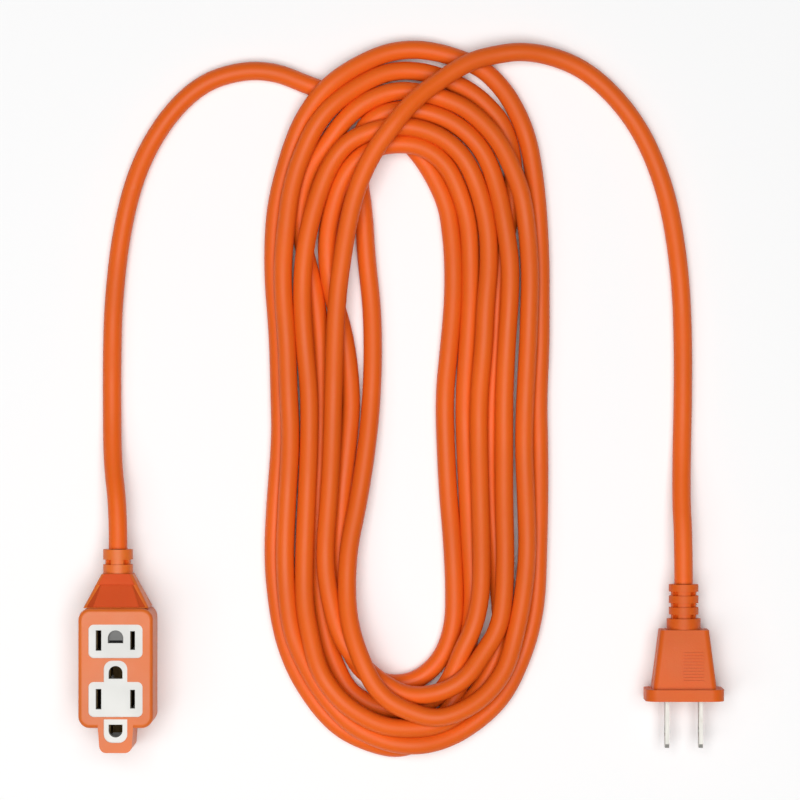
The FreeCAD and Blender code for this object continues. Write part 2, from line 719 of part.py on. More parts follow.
# Four identical rivets, each through a bus bar and the tab of a blade contact.
def make_rivets():
    rods = []
    for pole, side in SIDES:
        for outlet_name, outlet in OUTLETS:
            inside = f"({LEAF_OUTSIDE} - Sizes.clip_sheet)"
            outside = f"({LEAF_OUTSIDE} + Sizes.bus_sheet)"
            spans = (
                ("shank", "Sizes.rivet_diameter", inside, outside),
                ("inner_head", "Sizes.rivet_head", f"({inside} - Sizes.rivet_head_height)", inside),
                ("outer_head", "Sizes.rivet_head", outside, f"({outside} + Sizes.rivet_head_height)"),
            )
            parts = []
            for part_name, diameter, near, far in spans:
                rod = doc.addObject("Part::Cylinder", f"rivet_{pole}_{outlet_name}_{part_name}")
                rod.setExpression("Radius", f"{diameter} / 2")
                rod.setExpression("Height", f"{far} - {near}")
                rod.Placement = Placement(Vector(0, 0, 0), Rotation(Vector(0, 1, 0), 90 * side))
                place(rod, f"{side} * {near}", clip_tab_middle(outlet), AXIS)
                parts.append(rod)
            rivet = doc.addObject("Part::MultiFuse", f"rivet_{pole}_{outlet_name}")
            rivet.Shapes = parts
            rods.append(rivet)
    group = doc.addObject("Part::Compound", "block_contact_rivets")
    group.Label = "block_contact_rivets"
    group.Links = rods
    doc.recompute()
    pieces.append(group)
    return group


# The ground contacts, one under each ground hole, and the strap that joins them.
def make_ground_contact(name, centre):
    body = add_body(name)
    start = f"({centre} + Sizes.ground_clip_length / 2)"
    section = sketch_on(body, f"{name}_section", "XZ_Plane", f"-{start}")
    low = f"({CORE_FLOOR} + Sizes.clip_sheet)"
    top = f"({CHANNEL_TOP} - Sizes.ground_clip_headroom)"
    channel_section(section, "0", "Sizes.ground_clip_gap", "Sizes.clip_sheet", low, top)
    pad(body, f"{name}_channel", section, "Sizes.ground_clip_length")
    return body


def make_ground_strap():
    body = add_body("block_ground_strap")
    half = "(Sizes.ground_strap_width / 2)"
    reach = "(Sizes.ground_clip_length / 2)"
    spans = (
        (f"-{half}", half),
        (f"{LOWER_GROUND_Y} - {reach}", f"{UPPER_GROUND_Y} + {reach}"),
        (CORE_FLOOR, f"{CORE_FLOOR} + Sizes.clip_sheet"),
    )
    box_feature(body, "Additive", "ground_strip", spans)
    return body


# A crimp: a square brass barrel whose flat side lies on a bus bar or a blade tail.
def make_crimp(name, middle, low, high, height):
    body = add_body(name)
    half = "Sizes.crimp_size / 2"
    spans = (
        (f"{middle} - {half}", f"{middle} + {half}"),
        (low, high),
        (f"{height} - {half}", f"{height} + {half}"),
    )
    box_feature(body, "Additive", f"{name}_barrel", spans)
    rod_along_y(body, "Subtractive", f"{name}_bore", "Sizes.strand_diameter", middle, low, high, height)
    return body


def make_rod(name, diameter, x, low, high, height):
    body = add_body(name)
    rod_along_y(body, "Additive", f"{name}_rod", diameter, x, low, high, height)
    return body


def arc_by_corner(start, corner, end):
    """Return the arc from start to end whose end tangents meet at the corner."""
    arrive = corner - start
    leave = end - corner
    half_turn = arrive.getAngle(leave) / 2
    if half_turn < 1e-5:
        return Part.LineSegment(start, end), math.inf
    radius = arrive.Length / math.tan(half_turn)
    middle = (start + end) / 2
    outward = (corner - middle).normalize()
    top = middle + outward * radius * (1 - math.cos(half_turn))
    return Part.Arc(start, top, end), radius


def rounded_route(points, share):
    """Join straight runs with tangent arcs; return the wire and the arc radii."""
    edges = []
    radii = []
    start = points[0]
    for before, corner, after in zip(points, points[1:], points[2:]):
        reach = share * min((corner - before).Length, (after - corner).Length)
        arrive = corner + (before - corner).normalize() * reach
        leave = corner + (after - corner).normalize() * reach
        arc, radius = arc_by_corner(arrive, corner, leave)
        edges.append(Part.LineSegment(start, arrive).toShape())
        edges.append(arc.toShape())
        radii.append(radius)
        start = leave
    edges.append(Part.LineSegment(start, points[-1]).toShape())
    return Part.Wire(edges), radii


def tube(name, path, first, second, diameter):
    """Sweep a round section along the path, and compare its volume with section times length."""
    section = Part.Wire([Part.Circle(first, second - first, diameter / 2).toShape()])
    shell = Part.BRepOffsetAPI.MakePipeShell(path)
    shell.add(section)
    shell.build()
    shell.makeSolid()
    solid = shell.shape()
    expected = math.pi * diameter**2 / 4 * path.Length
    if abs(solid.Volume / expected - 1) > VOLUME_TOLERANCE:
        raise RuntimeError(f"{name} has volume {solid.Volume:.0f}, not {expected:.0f}")
    return solid


def add_tube(name, path, first, second, diameter, placement):
    piece = doc.addObject("Part::Feature", name)
    piece.Label = name
    piece.Shape = tube(name, path, first, second, diameter)
    piece.Placement = placement
    pieces.append(piece)
    return piece


# The insulated wires, from the end of the sheath to their crimps.
def make_wire(name, side, sheath_end, crimp_end, crimp_middle, height, placement):
    near = side * size("wire_offset")
    far = side * crimp_middle
    drop = sheath_end - crimp_end
    points = [
        Vector(near, sheath_end, height),
        Vector(near, sheath_end - WIRE_STRAIGHT_SHARE * drop, height),
        Vector(far, crimp_end + WIRE_STRAIGHT_SHARE * drop, height),
        Vector(far, crimp_end, height),
    ]
    path, _ = rounded_route(points, ROUTE_ARC_SHARE)
    add_tube(name, path, points[0], points[1], size("wire_diameter"), placement)


# The orange jacket of the plug, moulded over the blades and their bridge.
def make_plug_jacket():
    body = add_body("plug_jacket")
    profile = sketch_on(body, "plug_relief_profile", "XY_Plane", "0")
    bore = "(Sizes.cord_diameter / 2)"
    ring = "(Sizes.ring_diameter / 2)"
    sleeve = "(Sizes.sleeve_diameter / 2)"
    base = "(Sizes.plug_base_diameter / 2)"
    gaps = []
    corners = [(bore, PLUG_SHOULDER), (bore, "0"), (ring, "0")]
    for index in range(PLUG_GAPS):
        high = f"(-({index} + 1) * Sizes.plug_ring - {index} * Sizes.plug_ring_gap)"
        low = f"({high} - Sizes.plug_ring_gap)"
        following = base if index == PLUG_GAPS - 1 else ring
        corners += [(ring, high), (sleeve, high), (sleeve, low), (following, low)]
        gaps.append((low, high))
    corners.append((base, PLUG_SHOULDER))
    outline(profile, corners)
    revolve(body, "plug_relief", profile)
    for index, (low, high) in enumerate(gaps):
        relief_windows(body, f"plug_window_{index}", low, high, "0")

    sections = []
    for name, place_y, width, height in (
        ("grip_root", PLUG_SHOULDER, "Sizes.plug_shoulder_width", "Sizes.plug_shoulder_height"),
        ("grip_foot", FLANGE_BACK, "Sizes.plug_body_width", "Sizes.plug_body_height"),
    ):
        section = sketch_on(body, name, "XZ_Plane", f"-{place_y}")
        rectangle(section, f"-{width} / 2", f"{width} / 2", f"-{height} / 2", f"{height} / 2")
        sections.append(section)
    loft(body, "grip", sections)

    def on_grip(edge):
        return edge.BoundBox.YLength > size("plug_body_length") - 0.01

    round_edges(body, "grip_edges", "Sizes.plug_edge_radius", on_grip)

    flange = sketch_on(body, "flange_plan", "XZ_Plane", f"-{FLANGE_BACK}")
    wide = "(Sizes.flange_width / 2)"
    tall = "(Sizes.flange_height / 2)"
    rectangle(flange, f"-{wide}", wide, f"-{tall}", tall)
    pad(body, "flange", flange, "Sizes.flange_length")

    def at_flange_corner(edge):
        box = edge.BoundBox
        if box.XLength > 0.01 or box.ZLength > 0.01:
            return False
        return abs(abs(box.XMin) - size("flange_width") / 2) < 0.01

    round_edges(body, "flange_corners", "Sizes.flange_corner", at_flange_corner)

    rise = "((Sizes.plug_body_height - Sizes.plug_shoulder_height) / 2 / Sizes.plug_body_length)"
    for index in range(GRIP_RIDGES):
        high = f"({PLUG_SHOULDER} - Sizes.grip_start - {index} * Sizes.grip_ridge_pitch)"
        low = f"({high} - Sizes.grip_ridge_thickness)"
        surface = f"(Sizes.plug_shoulder_height / 2 + ({PLUG_SHOULDER} - {high}) * {rise})"
        spans = (
            ("-Sizes.grip_ridge_side", "Sizes.grip_ridge_width - Sizes.grip_ridge_side"),
            (low, high),
            (f"{surface} - Sizes.grip_ridge_height", f"{surface} + Sizes.grip_ridge_height"),
        )
        box_feature(body, "Additive", f"grip_ridge_{index}", spans)

    half_wide = "Sizes.bridge_width / 2"
    half_tall = "Sizes.bridge_height / 2"
    spans = ((f"-{half_wide}", half_wide), (BRIDGE_FRONT, BRIDGE_BACK), (f"-{half_tall}", half_tall))
    box_feature(body, "Subtractive", "bridge_room", spans)
    for pole, side in SIDES:
        spans = blade_spans(side, PLUG_FRONT, BRIDGE_FRONT)
        box_feature(body, "Subtractive", f"{pole}_blade_exit", spans)
    wire_half = "(Sizes.wire_diameter / 2 + Sizes.wire_room)"
    wide_room = "(Sizes.blade_spacing / 2 + Sizes.blade_thickness / 2 + Sizes.wire_room)"
    narrow = f"(Sizes.wire_offset + {wire_half})"
    upright = (f"-{wire_half}", wire_half)
    sheath_end = "(-Sizes.plug_cord_hold)"
    bend = f"({sheath_end} - Sizes.wire_diameter)"
    box_feature(
        body, "Subtractive", "plug_wire_wide", ((f"-{wide_room}", wide_room), (BRIDGE_BACK, bend), upright)
    )
    box_feature(
        body, "Subtractive", "plug_wire_narrow", ((f"-{narrow}", narrow), (bend, sheath_end), upright)
    )
    rod_along_y(
        body, "Subtractive", "plug_cord_bore", "Sizes.cord_diameter", "0", sheath_end, PLUG_SHOULDER, "0"
    )
    return body


def blade_spans(side, low, high):
    middle = f"({side} * Sizes.blade_spacing / 2)"
    thick = "Sizes.blade_thickness / 2"
    tall = "Sizes.blade_width / 2"
    return ((f"{middle} - {thick}", f"{middle} + {thick}"), (low, high), (f"-{tall}", tall))


# The insulating bridge that holds the two blades apart inside the plug.
def make_blade_bridge():
    body = add_body("plug_blade_bridge")
    half_wide = "Sizes.bridge_width / 2"
    half_tall = "Sizes.bridge_height / 2"
    spans = ((f"-{half_wide}", half_wide), (BRIDGE_FRONT, BRIDGE_BACK), (f"-{half_tall}", half_tall))
    box_feature(body, "Additive", "bridge", spans)
    for pole, side in SIDES:
        box_feature(
            body, "Subtractive", f"bridge_{pole}_slot", blade_spans(side, BRIDGE_FRONT, BRIDGE_BACK)
        )
    return body


def make_blade(pole, side):
    body = add_body(f"plug_{pole}_blade")
    start = f"({side} * Sizes.blade_spacing / 2 - Sizes.blade_thickness / 2)"
    plan = sketch_on(body, f"{pole}_blade_plan", "YZ_Plane", start)
    tip = f"({PLUG_FRONT} - Sizes.blade_length)"
    half = "(Sizes.blade_width / 2)"
    narrow = f"({half} - Sizes.blade_chamfer)"
    bevel = f"({tip} + Sizes.blade_chamfer)"
    tail = "(Sizes.blade_tail_height / 2)"
    outline(
        plan,
        (
            (tip, f"-{narrow}"),
            (bevel, f"-{half}"),
            (BRIDGE_BACK, f"-{half}"),
            (BRIDGE_BACK, f"-{tail}"),
            (BLADE_TAIL_END, f"-{tail}"),
            (BLADE_TAIL_END, tail),
            (BRIDGE_BACK, tail),
            (BRIDGE_BACK, half),
            (bevel, half),
            (tip, narrow),
        ),
    )
    circle(plan, f"({PLUG_FRONT} - Sizes.blade_hole_distance)", "0", "Sizes.blade_hole_diameter")
    pad(body, f"{pole}_blade_sheet", plan, "Sizes.blade_thickness")
    return body


def biarc(start, leave, end, arrive, start_reach, end_reach):
    """Return two arcs that meet smoothly; one reach is given and the other is worked out."""
    span = end - start
    parting = 1 - leave.dot(arrive)
    if start_reach is None:
        above = span.dot(span) - 2 * end_reach * span.dot(arrive)
        start_reach = above / (2 * span.dot(leave) + 2 * end_reach * parting)
    else:
        above = span.dot(span) - 2 * start_reach * span.dot(leave)
        end_reach = above / (2 * span.dot(arrive) + 2 * start_reach * parting)
    first = start + leave * start_reach
    second = end - arrive * end_reach
    joint = first + (second - first) * (start_reach / (start_reach + end_reach))
    return (arc_by_corner(start, first, joint), arc_by_corner(joint, second, end))


def coil_stations():
    """Work out the place and heading of the coil at each quarter turn."""
    headings = (Vector(1, 0, 0), Vector(0, -1, 0), Vector(-1, 0, 0), Vector(0, 1, 0))
    low = size("cord_diameter") / 2
    climb = size("cord_diameter") + size("coil_layer_room")
    middle = 2 * COIL_TURNS
    stations = []
    for quarter in range(4 * COIL_TURNS + 1):
        inward = min(quarter, 4 * COIL_TURNS - quarter) / 4
        half_width = size("coil_half_width") - size("coil_step_x") * inward
        half_length = size("coil_half_length") - size("coil_step_y") * inward
        heading = headings[quarter % 4]
        side = Vector(-heading.y * half_width, heading.x * half_length, 0)
        point = Vector(size("coil_x"), size("coil_y"), low) + side
        if quarter == middle:
            point.z += climb / 2
            slope = climb / (2 * half_length)
            heading = Vector(heading.x, heading.y, slope).normalize()
        if quarter > middle:
            point.z += climb
        stations.append((point, heading, quarter % 2 == 0, half_width))
    return stations


# Seven turns, spiralling in on the table and out again in a second layer.
def make_coil():
    stations = coil_stations()
    run = size("cord_diameter")
    first_point, first_heading = stations[0][:2]
    last_point, last_heading = stations[-1][:2]
    lead_in = first_point - first_heading * run
    lead_out = last_point + last_heading * run
    edges = [Part.LineSegment(lead_in, first_point).toShape()]
    radii = []
    for here, there in zip(stations, stations[1:]):
        side_width = there[3] if here[2] else here[3]
        reach = size("coil_end_fullness") * side_width
        start_reach = reach if here[2] else None
        end_reach = None if here[2] else reach
        for curve, radius in biarc(here[0], here[1], there[0], there[1], start_reach, end_reach):
            edges.append(curve.toShape())
            radii.append(radius)
    edges.append(Part.LineSegment(last_point, lead_out).toShape())
    path = Part.Wire(edges)
    add_tube("cord_coil", path, lead_in, first_point, run, Placement())
    print(f"coil: {path.Length:.0f} mm, smallest radius {min(radii):.1f} mm")
    report_least_gap(path)


def report_least_gap(path):
    """Print the smallest gap of the coil to itself, measured between points on its axis."""
    count = int(path.Length / GAP_STEP)
    points = path.discretize(Number=count)
    apart = int(4 * size("cord_diameter") / GAP_STEP)
    least = math.inf
    for index, point in enumerate(points):
        for other in points[index + apart :]:
            least = min(least, point.distanceToPoint(other))
    print(f"least gap of the coil to itself {least - size('cord_diameter'):.2f} mm")


def make_stretch(name, route):
    points = [Vector(*point) for point in route]
    path, radii = rounded_route(points, ROUTE_ARC_SHARE)
    add_tube(name, path, points[0], points[1], size("cord_diameter"), Placement())
    listed = ", ".join(f"{radius:.0f}" for radius in radii)
    print(f"{name}: {path.Length:.0f} mm, radii {listed} mm")


def make_block():
    make_block_jacket()
    make_front_core()
    make_rear_core()
    for pole, side in SIDES:
        make_bus(pole, side)
        for outlet_name, outlet in OUTLETS:
            make_blade_clip(pole, side, outlet_name, outlet)
    make_rivets()
    make_ground_contact("block_ground_contact_middle", UPPER_GROUND_Y)
    make_ground_contact("block_ground_contact_end", LOWER_GROUND_Y)
    make_ground_strap()
    make_rod("cord_end_in_block", "Sizes.cord_diameter", "0", CORD_END, RELIEF_END, AXIS)
    relief_end = (size("tab_length") + size("body_length") + size("neck_length") + size("relief_length")) / 2
    sheath_end = relief_end - size("cord_hold")
    core_end = relief_end - size("relief_length") - size("neck_length") - size("jacket_wall")
    crimp_low = f"({CRIMP_TOP} - Sizes.bus_crimp_length)"
    crimp_end = core_end - size("wiring_length") + size("crimp_room") + size("bus_crimp_length")
    leaf = (size("blade_spacing") + size("clip_gap")) / 2 + size("clip_sheet")
    crimp_middle = leaf - size("crimp_size") / 2
    axis = size("jacket_height") / 2
    for pole, side in SIDES:
        middle = f"({side} * {CRIMP_X})"
        make_crimp(f"block_{pole}_crimp", middle, crimp_low, CRIMP_TOP, AXIS)
        make_rod(f"block_{pole}_strands", "Sizes.strand_diameter", middle, crimp_low, CRIMP_TOP, AXIS)
        make_wire(f"block_{pole}_wire", side, sheath_end, crimp_end, crimp_middle, axis, Placement())


def make_plug():
    first = len(pieces)
    make_plug_jacket()
    make_blade_bridge()
    for pole, side in SIDES:
        make_blade(pole, side)
        middle = f"({side} * {PLUG_CRIMP_X})"
        make_crimp(f"plug_{pole}_crimp", middle, BRIDGE_BACK, BLADE_TAIL_END, "0")
        make_rod(f"plug_{pole}_strands", "Sizes.strand_diameter", middle, BRIDGE_BACK, BLADE_TAIL_END, "0")
    make_rod("cord_end_in_plug", "Sizes.cord_diameter", "0", "-Sizes.plug_cord_hold", "0", "0")
    plug = Placement(
        Vector(size("plug_x"), size("plug_exit_y"), size("flange_height") / 2), Rotation(0, 0, 0)
    )
    for body in pieces[first:]:
        body.Placement = plug
    sheath_end = -size("plug_cord_hold")
    relief = PLUG_GAPS * (size("plug_ring") + size("plug_ring_gap")) + size("plug_base_ring")
    front = -relief - size("plug_body_length") - size("flange_length")
    crimp_end = front + size("plug_front_wall") + size("bridge_length") + size("bus_crimp_length")
    crimp_middle = (size("blade_spacing") - size("blade_thickness") - size("crimp_size")) / 2
    for pole, side in SIDES:
        make_wire(f"plug_{pole}_wire", side, sheath_end, crimp_end, crimp_middle, 0, plug)


def check_model():
    for item in doc.Objects:
        if "Invalid" in item.State or "Error" in item.State:
            raise RuntimeError(f"{item.Label} failed: {item.State}")
    for piece in pieces:
        if piece.Shape.isNull() or not piece.Shape.isValid():
            raise RuntimeError(f"{piece.Label} has no valid shape")


def write_pieces():
    os.makedirs("parts", exist_ok=True)
    for piece in pieces:
        piece.Shape.exportStep(os.path.join("parts", f"{piece.Label}.step"))
        print(f"{piece.Label}: {len(piece.Shape.Solids)} solid, {piece.Shape.Volume:.1f} mm3")


make_block()
make_plug()
make_stretch("cord_block_stretch", BLOCK_ROUTE)
make_coil()
make_stretch("cord_plug_stretch", PLUG_ROUTE)
doc.recompute()
check_model()
write_pieces()
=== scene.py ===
"""Looks of a coiled extension cord: its cord, outlet block, plug and studio stage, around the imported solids."""
import math

import bmesh
import bpy
from bpy.props import FloatProperty, FloatVectorProperty, PointerProperty

from mathutils import Matrix, Vector


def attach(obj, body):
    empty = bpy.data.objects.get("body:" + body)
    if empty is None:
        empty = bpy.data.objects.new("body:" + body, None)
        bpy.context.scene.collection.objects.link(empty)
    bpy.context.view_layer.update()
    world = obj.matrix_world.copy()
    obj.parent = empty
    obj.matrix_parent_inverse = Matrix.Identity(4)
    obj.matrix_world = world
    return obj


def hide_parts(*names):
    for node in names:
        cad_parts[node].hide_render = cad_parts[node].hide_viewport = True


bl_info = {
    "name": "Coiled Extension Cord",
    "version": (1, 0, 0),
    "blender": (4, 5, 0),
    "location": "3D View > Sidebar > Extension Cord",
    "description": "Dresses a coiled extension cord: its cord, outlet block, plug and studio stage",
    "category": "Add Mesh",
}

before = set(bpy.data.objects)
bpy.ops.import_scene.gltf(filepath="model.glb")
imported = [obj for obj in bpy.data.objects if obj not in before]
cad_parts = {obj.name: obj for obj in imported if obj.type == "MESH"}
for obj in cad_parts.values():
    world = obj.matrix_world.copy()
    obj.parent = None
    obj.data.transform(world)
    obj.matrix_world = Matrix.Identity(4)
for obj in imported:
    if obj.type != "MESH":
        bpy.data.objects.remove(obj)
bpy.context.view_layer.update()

# The cord's own line, in metres, from the outlet block through seven turns to the plug.
BLOCK_ROUTE = (
    (0.0, 0.0378, 0.0135), (0.0, 0.053, 0.013),
    (-0.0025, 0.0700, 0.0073), (-0.0030, 0.0895, 0.0032), (-0.0030, 0.1100, 0.0035),
    (-0.0025, 0.1310, 0.0035), (0.0005, 0.1580, 0.0035), (0.0065, 0.1815, 0.0035),
    (0.0170, 0.2005, 0.0035), (0.0305, 0.2140, 0.0035), (0.0460, 0.2190, 0.0035),
    (0.0590, 0.2185, 0.0035),
)
COIL_ROUTE = (
    # Under the coil's top, to the inner right side.
    (0.0710, 0.2135, 0.0035), (0.0795, 0.2105, 0.0035), (0.0890, 0.2065, 0.0035),
    (0.0980, 0.2015, 0.0035), (0.1060, 0.1950, 0.0035), (0.1130, 0.1880, 0.0035),
    (0.1190, 0.1790, 0.0035),
    # First turn: right side and inner bottom.
    (0.1240, 0.1680, 0.0035), (0.1255, 0.1585, 0.0035), (0.1265, 0.1475, 0.0035),
    (0.1265, 0.1320, 0.0035), (0.1250, 0.1150, 0.0035), (0.1230, 0.0960, 0.0035),
    (0.1235, 0.0770, 0.0035), (0.1245, 0.0575, 0.0035), (0.1260, 0.0415, 0.0035),
    (0.1270, 0.0210, 0.0035), (0.1265, 0.0080, 0.0035), (0.1225, -0.0035, 0.0035),
    (0.1145, -0.0115, 0.0035), (0.1055, -0.0140, 0.0035),
    # First turn: left side.
    (0.0970, -0.0125, 0.0035), (0.0895, -0.0065, 0.0035), (0.0855, 0.0050, 0.0035),
    (0.0840, 0.0175, 0.0035), (0.0830, 0.0345, 0.0035), (0.0840, 0.0560, 0.0035),
    (0.0865, 0.0775, 0.0035), (0.0880, 0.0950, 0.0035), (0.0855, 0.1180, 0.0037),
    (0.0800, 0.1355, 0.0045), (0.0780, 0.1530, 0.0057), (0.0810, 0.1690, 0.0077),
    (0.0865, 0.1820, 0.0097), (0.0960, 0.1895, 0.0103),
    # Second turn: innermost top and right side, then out under the others.
    (0.1065, 0.1910, 0.0100), (0.1155, 0.1895, 0.0097), (0.1235, 0.1835, 0.0080),
    (0.1285, 0.1740, 0.0063), (0.1325, 0.1605, 0.0050), (0.1330, 0.1445, 0.0043),
    (0.1330, 0.1325, 0.0037), (0.1320, 0.1155, 0.0035), (0.1305, 0.0935, 0.0035),
    (0.1310, 0.0750, 0.0035), (0.1320, 0.0555, 0.0035), (0.1325, 0.0420, 0.0035),
    (0.1340, 0.0210, 0.0035), (0.1330, 0.0085, 0.0035), (0.1315, -0.0025, 0.0035),
    (0.1295, -0.0140, 0.0035), (0.1245, -0.0235, 0.0035), (0.1195, -0.0305, 0.0035),
    (0.1140, -0.0355, 0.0035), (0.1055, -0.0385, 0.0035),
    # Second turn: outermost left side.
    (0.0960, -0.0365, 0.0035), (0.0855, -0.0320, 0.0035), (0.0780, -0.0255, 0.0035),
    (0.0710, -0.0160, 0.0035), (0.0660, -0.0070, 0.0035), (0.0620, 0.0040, 0.0035),
    (0.0595, 0.0175, 0.0035), (0.0580, 0.0345, 0.0035), (0.0590, 0.0555, 0.0035),
    (0.0610, 0.0795, 0.0035), (0.0605, 0.0975, 0.0035), (0.0600, 0.1185, 0.0035),
    (0.0580, 0.1415, 0.0035), (0.0585, 0.1630, 0.0040), (0.0615, 0.1780, 0.0047),
    (0.0670, 0.1955, 0.0060), (0.0735, 0.2065, 0.0088), (0.0810, 0.2145, 0.0097),
    # Third turn: outermost top and right side.
    (0.0910, 0.2210, 0.0077), (0.1010, 0.2255, 0.0060), (0.1105, 0.2270, 0.0047),
    (0.1200, 0.2260, 0.0040), (0.1285, 0.2235, 0.0035), (0.1370, 0.2200, 0.0035),
    (0.1440, 0.2135, 0.0035), (0.1495, 0.2055, 0.0035), (0.1545, 0.1940, 0.0035),
    (0.1570, 0.1805, 0.0035), (0.1585, 0.1660, 0.0035), (0.1595, 0.1470, 0.0035),
    (0.1595, 0.1300, 0.0035), (0.1595, 0.1135, 0.0035), (0.1585, 0.0940, 0.0035),
    (0.1590, 0.0755, 0.0035), (0.1590, 0.0540, 0.0035), (0.1585, 0.0345, 0.0035),
    (0.1580, 0.0195, 0.0035), (0.1560, 0.0075, 0.0035), (0.1525, -0.0035, 0.0037),
    (0.1470, -0.0155, 0.0043), (0.1405, -0.0235, 0.0050), (0.1305, -0.0310, 0.0065),
    (0.1215, -0.0350, 0.0085),
    # Third turn: left side.
    (0.1130, -0.0365, 0.0103), (0.1045, -0.0360, 0.0100), (0.0965, -0.0335, 0.0095),
    (0.0880, -0.0290, 0.0092), (0.0810, -0.0220, 0.0090), (0.0750, -0.0140, 0.0088),
    (0.0695, -0.0040, 0.0088), (0.0655, 0.0055, 0.0090), (0.0635, 0.0180, 0.0090),
    (0.0625, 0.0350, 0.0088), (0.0635, 0.0560, 0.0088), (0.0650, 0.0795, 0.0090),
    (0.0640, 0.0980, 0.0092), (0.0635, 0.1160, 0.0092), (0.0615, 0.1400, 0.0092),
    (0.0630, 0.1590, 0.0095), (0.0655, 0.1770, 0.0100), (0.0720, 0.1935, 0.0110),
    (0.0770, 0.2015, 0.0112), (0.0830, 0.2075, 0.0105),
    # Fourth turn: top and right side.
    (0.0910, 0.2130, 0.0088), (0.0995, 0.2175, 0.0070), (0.1080, 0.2190, 0.0055),
    (0.1170, 0.2180, 0.0045), (0.1250, 0.2150, 0.0037), (0.1330, 0.2110, 0.0035),
    (0.1390, 0.2060, 0.0035), (0.1450, 0.1990, 0.0035), (0.1485, 0.1890, 0.0035),
    (0.1495, 0.1770, 0.0035), (0.1480, 0.1630, 0.0035), (0.1445, 0.1485, 0.0035),
    (0.1430, 0.1320, 0.0035), (0.1425, 0.1150, 0.0035), (0.1410, 0.0960, 0.0035),
    (0.1405, 0.0770, 0.0035), (0.1405, 0.0580, 0.0035), (0.1425, 0.0390, 0.0035),
    (0.1440, 0.0195, 0.0035), (0.1450, 0.0055, 0.0043), (0.1415, -0.0055, 0.0055),
    (0.1365, -0.0160, 0.0070), (0.1285, -0.0250, 0.0090), (0.1190, -0.0295, 0.0110),
    # Fourth turn: left side.
    (0.1090, -0.0300, 0.0125), (0.1000, -0.0290, 0.0135), (0.0915, -0.0250, 0.0140),
    (0.0840, -0.0195, 0.0143), (0.0780, -0.0120, 0.0145), (0.0745, -0.0045, 0.0138),
    (0.0720, 0.0065, 0.0123), (0.0700, 0.0175, 0.0110), (0.0700, 0.0350, 0.0100),
    (0.0710, 0.0560, 0.0092), (0.0720, 0.0795, 0.0090), (0.0720, 0.0975, 0.0090),
    (0.0700, 0.1165, 0.0092), (0.0690, 0.1355, 0.0097), (0.0705, 0.1535, 0.0105),
    (0.0745, 0.1695, 0.0107), (0.0800, 0.1835, 0.0115), (0.0870, 0.1920, 0.0125),
    (0.0970, 0.1960, 0.0130),
    # Fifth turn: top, then hidden under the right side.
    (0.1065, 0.1975, 0.0120), (0.1155, 0.1960, 0.0112), (0.1240, 0.1920, 0.0103),
    (0.1310, 0.1850, 0.0092), (0.1360, 0.1740, 0.0085), (0.1395, 0.1595, 0.0085),
    (0.1400, 0.1450, 0.0085), (0.1385, 0.1295, 0.0088), (0.1380, 0.1155, 0.0085),
    (0.1360, 0.0955, 0.0085), (0.1360, 0.0770, 0.0085), (0.1365, 0.0580, 0.0088),
    (0.1370, 0.0390, 0.0090), (0.1370, 0.0220, 0.0097), (0.1345, 0.0090, 0.0103),
    (0.1295, -0.0010, 0.0103), (0.1250, -0.0125, 0.0083), (0.1190, -0.0195, 0.0063),
    (0.1110, -0.0230, 0.0050),
    # Fifth turn: left side.
    (0.1020, -0.0235, 0.0040), (0.0935, -0.0210, 0.0035), (0.0865, -0.0160, 0.0035),
    (0.0820, -0.0075, 0.0035), (0.0780, 0.0035, 0.0035), (0.0760, 0.0180, 0.0035),
    (0.0745, 0.0350, 0.0035), (0.0750, 0.0540, 0.0035), (0.0760, 0.0750, 0.0035),
    (0.0760, 0.0960, 0.0035), (0.0760, 0.1170, 0.0035), (0.0740, 0.1355, 0.0035),
    (0.0690, 0.1540, 0.0035), (0.0680, 0.1680, 0.0043), (0.0715, 0.1815, 0.0055),
    (0.0790, 0.1915, 0.0070), (0.0855, 0.2005, 0.0090), (0.0935, 0.2070, 0.0100),
    # Sixth turn: top and right side.
    (0.1040, 0.2110, 0.0090), (0.1130, 0.2105, 0.0080), (0.1215, 0.2085, 0.0077),
    (0.1300, 0.2050, 0.0080), (0.1370, 0.1995, 0.0085), (0.1435, 0.1920, 0.0095),
    (0.1485, 0.1820, 0.0103), (0.1525, 0.1710, 0.0100), (0.1545, 0.1565, 0.0092),
    (0.1555, 0.1410, 0.0088), (0.1550, 0.1260, 0.0088), (0.1545, 0.1115, 0.0083),
    (0.1535, 0.0940, 0.0080), (0.1530, 0.0755, 0.0080), (0.1540, 0.0540, 0.0085),
    (0.1545, 0.0355, 0.0088), (0.1525, 0.0180, 0.0095), (0.1495, 0.0040, 0.0105),
    (0.1460, -0.0080, 0.0120), (0.1385, -0.0175, 0.0138), (0.1290, -0.0235, 0.0158),
    (0.1195, -0.0260, 0.0168),
    # Sixth turn: left side, over the seventh.
    (0.1105, -0.0235, 0.0165), (0.1020, -0.0195, 0.0168), (0.0960, -0.0130, 0.0170),
    (0.0910, -0.0025, 0.0168), (0.0875, 0.0080, 0.0147), (0.0860, 0.0195, 0.0120),
    (0.0865, 0.0375, 0.0097), (0.0905, 0.0555, 0.0077), (0.0940, 0.0785, 0.0060),
    (0.0955, 0.0960, 0.0047), (0.0960, 0.1130, 0.0040), (0.0955, 0.1300, 0.0035),
    (0.0935, 0.1470, 0.0035), (0.0925, 0.1645, 0.0035), (0.0905, 0.1785, 0.0035),
    (0.0900, 0.1890, 0.0035), (0.0925, 0.1975, 0.0070),
    # Seventh turn: top and right side.
    (0.0995, 0.2025, 0.0097), (0.1090, 0.2040, 0.0088), (0.1175, 0.2025, 0.0080),
    (0.1255, 0.1995, 0.0077), (0.1335, 0.1935, 0.0077), (0.1395, 0.1850, 0.0083),
